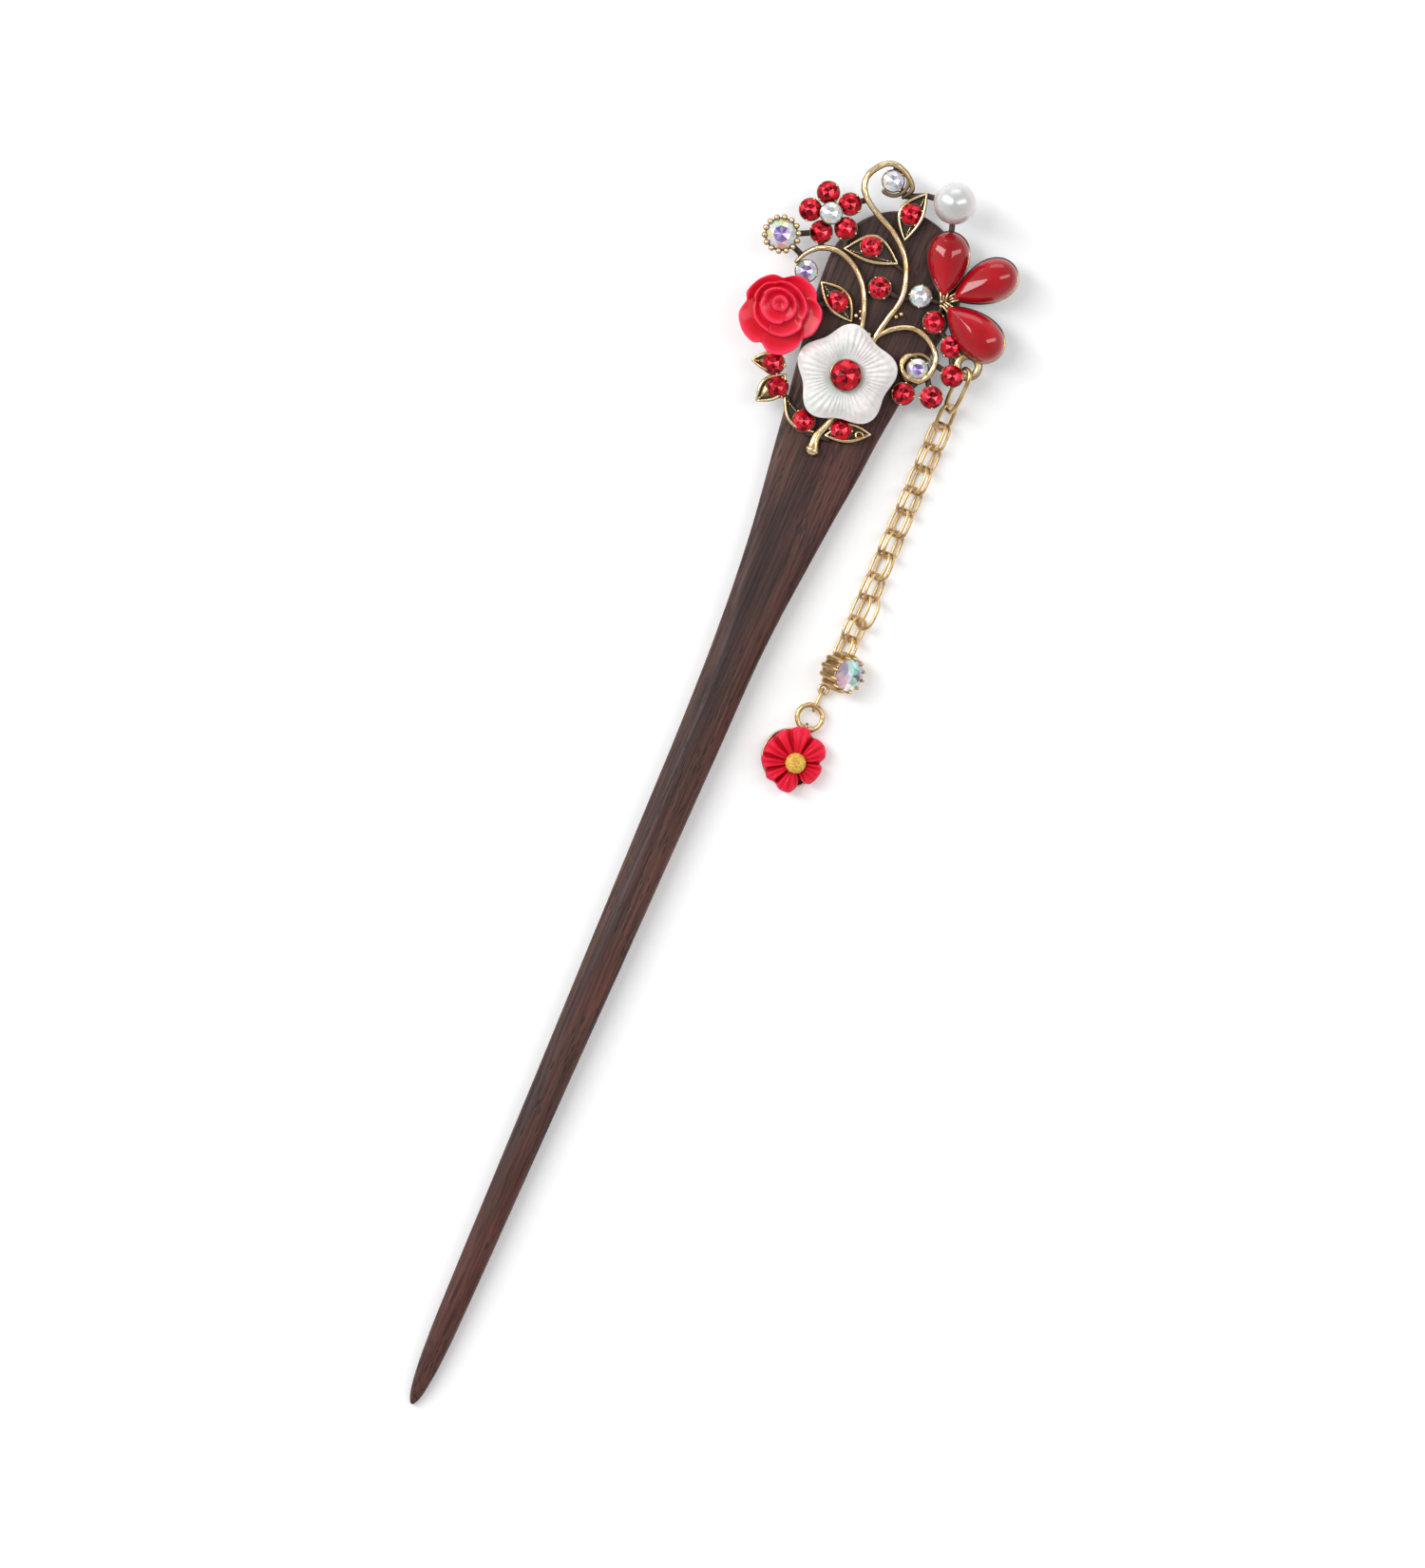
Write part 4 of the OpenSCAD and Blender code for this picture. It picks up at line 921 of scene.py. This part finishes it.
# Rims of the rose's rings of petals, from the outside in: their middle, then degrees and radii round them
ROSE_RIMS = [
    (ROSE, [(15, 6.1), (27, 6.1), (40, 5.5), (50, 6.0), (62, 6.1), (86, 5.9), (105, 4.9), (121, 5.5),
            (142, 5.5), (172, 5.4), (181, 4.75), (203, 5.65), (232, 5.7), (254, 5.5), (262, 4.7), (278, 5.8),
            (296, 6.0), (322, 5.5), (335, 4.9), (350, 5.7)]),
    (BUD, [(9, 4.0), (40, 3.5), (68, 3.35), (110, 3.3), (124, 3.1), (146, 3.6), (186, 3.75), (194, 3.4),
           (230, 4.05), (262, 4.1), (300, 4.6), (334, 4.5), (346, 3.9)]),
    (BUD, [(15, 2.4), (60, 2.2), (74, 2.1), (120, 2.35), (165, 2.75), (176, 2.5), (203, 2.8), (253, 2.8),
           (293, 2.8), (304, 2.55), (339, 2.6)]),
    (BUD, [(0, 1.2), (120, 1.25), (240, 1.15)]),
    (BUD, [(0, 0.25)]),
]
# Where one petal of a ring laps over the next, in degrees
ROSE_LAPS = [[40, 105, 181, 262, 335], [68, 124, 194, 270, 346], [74, 176, 304], []]
# Height and paleness (a painted highlight on the lips) along each ring, from its own rim (0) to the next one
# in (1)
ROSE_STEPS = [
    [(0.0, 1.5, 0.3), (0.03, 1.75, 0.8), (0.08, 1.82, 1.0), (0.2, 1.7, 0.5), (0.5, 1.45, 0.1),
     (0.85, 1.3, 0.0), (0.98, 1.3, 0.0), (1.03, 1.8, 0.2)],
    [(0.0, 2.5, 0.7), (0.06, 2.72, 1.0), (0.14, 2.72, 0.8), (0.35, 2.45, 0.2), (0.7, 2.2, 0.0),
     (0.95, 2.15, 0.0), (1.03, 2.6, 0.2)],
    [(0.0, 3.2, 0.7), (0.08, 3.42, 1.0), (0.2, 3.4, 0.7), (0.45, 3.12, 0.1), (0.8, 2.95, 0.0),
     (0.95, 2.95, 0.0), (1.03, 3.3, 0.3)],
    [(0.05, 3.7, 0.7), (0.2, 3.88, 1.0), (0.4, 3.86, 0.8), (0.65, 3.62, 0.2), (1.0, 3.5, 0.0)],
]
ROSE_UNDER = [(0.3, 0), (0.62, 0), (0.8, 0.25), (0.93, 0.7), (0.99, 1.15)]  # share of the rim and height


def outline_round(middle, rim, columns=240):
    """Closed outline through (degrees, radius) points round a middle."""
    angles = np.arange(columns) * TAU / columns
    radii = np.interp(angles, np.radians([a for a, _ in rim]), [r for _, r in rim], period=TAU)
    for _ in range(6):
        radii = (np.roll(radii, 1) + 2 * radii + np.roll(radii, -1)) / 4
    return np.array(middle) + radii[:, None] * np.column_stack([np.cos(angles), np.sin(angles)])


def lapped(columns, laps):
    """Runs from -0.5 to 0.5 along each petal, so that its end stands above the start of the next."""
    if not laps:
        return np.zeros(columns)
    degrees = np.arange(columns) * 360 / columns
    starts = np.array([laps[-1] - 360] + laps)
    ends = np.array(laps + [laps[0] + 360])
    place = np.searchsorted(laps, degrees, side="right")
    along = (degrees - starts[place]) / (ends[place] - starts[place]) - 0.5
    return (np.roll(along, 1) + 2 * along + np.roll(along, -1)) / 4


def make_rose():
    rims = [outline_round(*rim) for rim in ROSE_RIMS]
    middle, outer = np.array(ROSE), rims[0]
    rings = [at_all(middle + (outer - middle) * share, PAD_TOP + z) for share, z in ROSE_UNDER]
    paleness = [0.0] * len(rings)
    for here, inward, steps, laps in zip(rims, rims[1:], ROSE_STEPS, ROSE_LAPS):
        reach = np.linalg.norm(here - middle, axis=1)
        sway = 1.1 * (reach / reach.mean() - 1) + 0.45 * lapped(len(here), laps)
        for share, z, pale in steps:
            rings.append(at_all(here + (inward - here) * share, PAD_TOP))
            rings[-1][:, 2] += z + sway * max(1 - 1.6 * share, 0)
            paleness.append(pale)
    shape = Shape()
    shape.skin(rings, bare_gold_and_painted_light=np.array(paleness))
    build("rose_petals", shape, "pin", ["rose"], CORAL)


SHELL_R = 6.7
SHELL_LOBE = 0.6
SHELL_HOLE = 0.13  # share of the radius
SHELL_FOLDS = 46


def make_shell_flower():
    """Five-lobed flower round a hole: flat below, domed and fluted above, lower between its lobes."""
    angles = np.arange(330) * TAU / 330
    lobes = np.cos(5 * (angles - math.radians(SHELL_TURN)))
    reach = SHELL_R + SHELL_LOBE * lobes
    uneven = 0.85 + 0.15 * np.sin(17 * angles) * np.cos(6 * angles)
    folds = uneven * np.sin(SHELL_FOLDS * angles + 2.2 * np.sin(5 * angles))

    def ring(share, z):
        return np.column_stack([SHELL[0] + reach * share * np.cos(angles),
                                SHELL[1] + reach * share * np.sin(angles), PAD_TOP + z])

    rings = [ring(share, 0 * angles) for share in (SHELL_HOLE, 0.6, 0.97)]
    for share in np.linspace(1.0, SHELL_HOLE, 34):
        dome = 0.95 + 0.6 * ease(share, 0.3, 0.66) - 0.85 * ease(share, 0.7, 1.0) ** 1.5
        valley = 0.4 * (1 - lobes) / 2 * share ** 2
        flute = 0.125 * folds * ease(share, 0.36, 0.6) * (1 - ease(share, 0.86, 0.97))
        rings.append(ring(share, dome - valley + flute))
    shape = Shape()
    shape.skin(rings, loop=True)
    build("shell_flower_carved", shape, "pin", ["shell_flower"], MOTHER_OF_PEARL)


# ---- Chain ----
def oval_path(half_w, half_l, squareness, count=52):
    """Centre line of a ring with its long axis along Y. A squareness of 2 is an ellipse."""
    angles = np.arange(count) * TAU / count
    x, y = np.cos(angles), np.sin(angles)
    power = 2 / squareness
    return at_all(np.column_stack([half_w * np.sign(x) * np.abs(x) ** power,
                                   half_l * np.sign(y) * np.abs(y) ** power]), 0)


def ring_shape(shape, half_w, half_l, squareness, wire, offset=(0, 0, 0), place=None, hammer=0.0):
    """Adds a wire ring. place turns it into position."""
    path = oval_path(half_w, half_l, squareness) + np.array(offset, float)
    normal = np.array([0.0, 0.0, 1.0])
    if place is not None:
        turned = np.array(place.to_3x3())
        path = path @ turned.T + np.array(place.translation)
        normal = turned @ normal
    radius = wire / 2 * (1 + hammer * np.array([rng.uniform(-1, 1) for _ in path]))
    shape.tube(path, radius, 14, closed=True, up=normal)


def stage(y, side):
    return Matrix.Translation((CHAIN_X, y, CHAIN_Z)) @ Matrix.Rotation(math.radians(side * ROLL), 4, "Y")


def strung(ends, roll):
    """Turns a ring's long axis from one end point to the other, and rolls it about that axis."""
    a, b = Vector(ends[0]), Vector(ends[1])
    d = a - b
    pitch = math.atan2(d.z, math.hypot(d.x, d.y))
    heading = math.atan2(-d.x, d.y)
    return (Matrix.Translation((a + b) / 2) @ Euler((pitch, 0, heading), "XYZ").to_matrix().to_4x4()
            @ Matrix.Rotation(math.radians(roll), 4, "Y"), d.length / 2)


def chain_piece(name, shape, body, node):
    build(name, shape, body, [node], WARM)


def add_pair(shape, half_w, half_l, place):
    """Two oval rings side by side."""
    for side in PAIR_SIDES:
        ring_shape(shape, half_w, half_l, RING_SQUARE, RING_WIRE, (0, 0, side), place)


def make_chain():
    for i, (ends, roll, half_w, wire) in enumerate(LINKS, 1):
        place, half_l = strung(ends, roll)
        shape = Shape()
        ring_shape(shape, half_w, half_l, RING_SQUARE, wire, place=place)
        chain_piece(f"chain_link_{i}_wire", shape, f"link_{i}", f"chain_link_{i}")
    for i in range(PAIRS):
        shape = Shape()
        side = -1 if i % 2 == 0 else 1
        add_pair(shape, RING_HALF_W, RING_HALF_L, stage(CHAIN_START - CHAIN_PITCH * i, side))
        chain_piece(f"chain_pair_{i + 1}_wire", shape, f"pair_{i + 1}", f"chain_pair_{i + 1}")
    place = stage(CHAIN_START - CHAIN_PITCH * PAIRS, -1)
    small, large, hanger = Shape(), Shape(), Shape()
    ring_shape(small, RING_HALF_W, RING_HALF_L, RING_SQUARE, RING_WIRE, (0, 0, PAIR_SIDES[1]), place)
    chain_piece("end_ring_wire", small, "end_rings", "end_ring")
    ring_shape(large, *END_JUMP, place)
    chain_piece("end_jump_ring_wire", large, "end_rings", "end_jump_ring")
    add_pair(hanger, RING_HALF_W, HANGER_HALF_L, stage(HANGER_Y, 1))
    chain_piece("hanger_rings_wire", hanger, "hanger", "hanger_rings")


def patch_tint(shape, face):
    """Colour of the patch of the charm's stone that a facet lies in: a painted reflection over its pale
    colour.
    """
    x, y, _ = np.mean([shape.points[k] for k in face], axis=0)
    patch = round(math.degrees(math.atan2(y, x)) / 45 + rng.uniform(-0.6, 0.6)) % 8
    light = rng.uniform(0.85, 1.1)
    return tuple(c * light for c in CHARM_TINTS[patch][:3]) + (1.0,)


# Wall of the crown charm: radius and height, from the foot over the lip to the pocket
CHARM_WALL = [(1.6, 0), (2.3, 0.06), (2.42, 0.3), (2.35, 0.7), (2.35, CROWN_H - 0.4), (2.42, CROWN_H),
    (2.33, CROWN_H + 0.04), (2.3, CROWN_H - 0.6), (0.4, CROWN_H - 0.7)]
CHARM_FLUTES = 12


def make_crown_charm():
    lean = Euler([math.radians(a) for a in CROWN_LEAN], "XYZ").to_matrix().to_4x4()
    place = Matrix.Translation(CROWN_CHARM) @ lean @ Matrix.Translation((0, 0, -CROWN_H / 2))
    wall = Shape()
    wall.lathe((0, 0, 0), CHARM_WALL, 48)
    for k in range(CHARM_FLUTES):
        out = turn(360 / CHARM_FLUTES * k)
        path = smooth([at(out * 2.3, 0.2), at(out * 2.42, 0.5), at(out * 2.42, 2.4),
                       at(out * 2.44, CROWN_H - 0.1), at(out * 2.5, CROWN_H + 0.45)], 4)
        radius = np.interp(np.arange(len(path)), [0, 4, 11, 16], [0.38, 0.42, 0.4, 0.13])
        wall.tube(path, radius, 12, up=at(out, 0))
    turned_to = np.array(place.to_3x3())
    wall.points = [tuple(turned_to @ np.array(p) + np.array(place.translation)) for p in wall.points]
    add_pair(wall, *CROWN_RINGS, stage(CROWN_RINGS_Y, -1))
    ring_shape(wall, LUG_R, LUG_R, 2, LUG_WIRE, place=Matrix.Translation(LUG))
    arm = Euler((math.radians(-50), 0, math.radians(-30)), "XYZ").to_matrix() @ Vector((0, 0, LUG_ARM))
    start = Vector(LUG) + Vector((0.2, 0.6, 0))
    wall.tube([start, start + arm / 2, start + arm], LUG_WIRE / 2, 10)
    build("charm_crown_fluted", wall, "crown", ["charm_crown"], WARM)
    shape, _ = gem(*CHARM_STONE, PALE_TINTS)
    tones = [patch_tint(shape, face) for face in shape.faces]
    build("charm_stone_cut", shape, "crown", ["charm_stone"], PALE, flat=True,
          place=place @ Matrix.Translation((0, 0, CROWN_H - 0.7)), facets=tones)


def make_lower_rings():
    eye, jump = Shape(), Shape()
    ring_shape(eye, *EYE_RING, place=Matrix.Translation(EYE) @ ON_EDGE)
    chain_piece("eye_link_wire", eye, "eye", "eye_link")
    ring_shape(jump, JUMP_R, JUMP_R, 2, JUMP_WIRE, place=Matrix.Translation(JUMP), hammer=0.07)
    chain_piece("charm_jump_ring_wire", jump, "jump", "charm_jump_ring")


# The daisy's edge in degrees and radii round its middle, the lines between its petals, and the rings
# of its surface from below to the top: share of the edge, height, depth of the pleats, paleness (a painted
# highlight)
DAISY_EDGE = [(5, 3.8), (16, 3.75), (23, 3.2), (33, 4.25), (45, 4.6), (57, 4.75), (70, 4.6), (80, 4.25),
    (92, 5.2), (109, 5.2), (122, 4.85), (136, 5.0), (152, 4.8), (166, 4.95), (187, 4.75), (196, 4.95),
    (215, 4.35), (230, 4.6), (246, 3.9), (260, 4.35), (281, 4.3), (294, 3.5), (301, 2.7), (306, 2.0),
    (312, 2.6), (325, 3.55), (340, 3.65)]
DAISY_SPLITS = [23, 80, 122, 152, 187, 215, 246, 306]
DAISY_STEPS = [(0.2, 0.42, 0, 0), (0.6, 0.5, 0, 0), (0.82, 0.9, 0, 0), (0.95, 1.5, 0.3, 0.1),
    (0.99, 1.95, 0.8, 0.6), (1.0, 2.2, 1, 1.0), (0.98, 2.42, 1, 1.0), (0.93, 2.62, 1.2, 0.6),
    (0.84, 2.8, 1.3, 0.3), (0.72, 2.92, 1.3, 0.1), (0.58, 2.92, 1.1, 0), (0.45, 2.8, 0.8, 0),
    (0.33, 2.6, 0.4, 0), (0.2, 2.5, 0, 0)]
TRAY_DISH = [(3.9, 0, 0.3), (4.15, 0.1, 0.7), (4.2, 0.4, 0.8), (4.14, 0.68, 1.0), (3.98, 0.68, 0.9),
    (3.9, 0.42, 0.2), (0.3, 0.4, 0.1)]
HEART_DOME = [(1.2, 2.3), (1.45, 2.9), (1.42, 3.3), (1.28, 3.62), (0.95, 3.88), (0.5, 4.02), (0.1, 4.06)]
HEART_GRAINS = [(12, 1.12, 3.68), (8, 0.72, 3.92), (4, 0.3, 4.02)]  # count, radius and height


def make_daisy_tray():
    tray = Shape()
    turned(tray, at(TRAY, 0), TRAY_DISH, 64)
    loop = Matrix.Translation((JUMP[0], JUMP[1] - JUMP_R, LOW_Z)) @ ON_EDGE
    ring_shape(tray, LOOP_R, LOOP_R, 2, LOOP_WIRE, place=loop)
    tray.tube([(JUMP[0], -63.2, 0.52), (JUMP[0], -63.7, 0.42), (JUMP[0], -64.3, 0.4)], LOOP_WIRE / 2, 10)
    build("daisy_tray_pressed", tray, "daisy_charm", ["daisy_tray"], DARK_WARM)


def make_daisy():
    """Petals as one pleated surface, with a valley at each line between two petals."""
    columns = 300
    angles = np.arange(columns) * TAU / columns
    edge = outline_round(DAISY_HEART, DAISY_EDGE, columns)
    heart = np.array(DAISY_HEART)
    off = [(angles - math.radians(a) + math.pi) % TAU - math.pi for a in DAISY_SPLITS]
    valley = sum(np.exp(-(d / 0.075) ** 2) for d in off)
    pleats = 0.09 * np.cos(24 * angles) + 0.06 * np.cos(15 * angles + 1)
    rings, paleness = [], []
    for share, z, depth, pale in DAISY_STEPS:
        rings.append(at_all(heart + (edge - heart) * share, z))
        rings[-1][:, 2] += depth * (pleats - 0.5 * valley)
        # Paleness: painted highlight on the rims; below zero, painted shade in the pleat troughs and the
        # valleys between petals.
        paleness.append(pale * (1 - valley) + 3 * np.minimum(pleats, 0) - 0.6 * valley)
    petals = Shape()
    petals.skin(rings, bare_gold_and_painted_light=np.concatenate(paleness))
    build("daisy_petals", petals, "daisy_charm", ["daisy"], MATT_CORAL)


def make_daisy_centre():
    dome = Shape()
    dome.lathe(at(DAISY_HEART, 0), HEART_DOME, 40, wave=lambda a: 0.02 * np.sin(13 * a))
    for ring, (count, radius, z) in enumerate(HEART_GRAINS):
        for k in range(count):
            spot = np.array(DAISY_HEART) + radius * turn(360 / count * k + 17 * ring)
            dome.bead(at(spot, z), 0.17)
    build("daisy_centre_dome", dome, "daisy_charm", ["daisy_centre"], YELLOW)


make_stick()
make_casting()
make_stones()
make_crown_setting()
make_rivet()
make_pearl()
make_drops()
make_rose()
make_shell_flower()
make_chain()
make_crown_charm()
make_lower_rings()
make_daisy_tray()
make_daisy()
make_daisy_centre()
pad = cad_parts["glue_pad"]
pad.data.materials.clear()
pad.data.materials.append(GLUE)


# ---- Floor, light and camera ----
def square(name, centre, size, material):
    """Flat floor with a few divisions."""
    mesh = bpy.data.meshes.new(name)
    steps = [-1, -0.5, 0, 0.5, 1]
    points = [(centre[0] + size * x, centre[1] + size * y, centre[2]) for y in steps for x in steps]
    faces = [(5 * j + i, 5 * j + i + 1, 5 * j + i + 6, 5 * j + i + 5) for j in range(4) for i in range(4)]
    mesh.from_pydata(points, [], faces)
    mesh.materials.append(material)
    made = bpy.data.objects.new(name, mesh)
    bpy.context.scene.collection.objects.link(made)


def softbox(name, side, distance, size, power):
    """Rectangular area light. side is its direction: right and up in the picture, and above."""
    light = bpy.data.lights.new(name, "AREA")
    light.shape = "RECTANGLE"
    light.size, light.size_y = size
    light.energy = power
    made = bpy.data.objects.new(name, light)
    toward = (image_right * side[0] + image_up * side[1] + Vector((0, 0, side[2]))).normalized()
    made.location = middle + toward * distance
    made.rotation_euler = toward.to_track_quat("Z", "Y").to_euler()
    bpy.context.scene.collection.objects.link(made)


VIEW_TURN = math.radians(23.376)
VIEW_CENTRE = Vector((4.25, -74.8, 3.0)) * MM
VIEW_HEIGHT = 220 * MM
LENS = 260.0
SENSOR = 36.0
FLOOR_HALF = 3.0
FLOOR_GAP = 0.02 * MM
SKY_STRENGTH = 0.72
SKY = [(0.35, (0.95, 0.95, 0.95, 1)), (0.95, (0.42, 0.42, 0.43, 1))]  # near the horizon, and overhead

low, high = cad_box
middle = (low + high) / 2
image_right = Vector((math.cos(VIEW_TURN), math.sin(VIEW_TURN), 0))
image_up = Vector((-math.sin(VIEW_TURN), math.cos(VIEW_TURN), 0))
square("floor", (middle.x, middle.y, low.z - FLOOR_GAP), FLOOR_HALF, floor_finish())
softbox("key", (-0.8, 0.5, 1.0), 0.9, (0.28, 0.95), 6.0)
softbox("fill", (0.75, 0.2, 1.0), 1.0, (0.2, 0.9), 2.4)
softbox("head", (0.1, 1.2, 0.5), 1.0, (0.7, 0.4), 1.4)

world = bpy.data.worlds.new("studio")
bpy.context.scene.world = world
world.use_nodes = True
sky = world.node_tree
split = sky.nodes.new("ShaderNodeSeparateXYZ")
fade = sky.nodes.new("ShaderNodeValToRGB")
sky.links.new(sky.nodes.new("ShaderNodeTexCoord").outputs["Generated"], split.inputs["Vector"])
sky.links.new(split.outputs["Z"], fade.inputs["Fac"])
for element, (height, tint) in zip(fade.color_ramp.elements, SKY):
    element.color = tint
    element.position = height
sky.links.new(fade.outputs["Color"], sky.nodes["Background"].inputs["Color"])
sky.nodes["Background"].inputs["Strength"].default_value = SKY_STRENGTH
bpy.context.scene.view_settings.view_transform = "Standard"

lens = bpy.data.cameras.new("camera")
lens.lens = LENS
lens.sensor_width = SENSOR
camera = bpy.data.objects.new("camera", lens)
camera.location = VIEW_CENTRE + Vector((0, 0, VIEW_HEIGHT * LENS / SENSOR))
camera.rotation_euler = (0, 0, VIEW_TURN)
lens.clip_end = 10
bpy.context.scene.collection.objects.link(camera)
bpy.context.scene.camera = camera
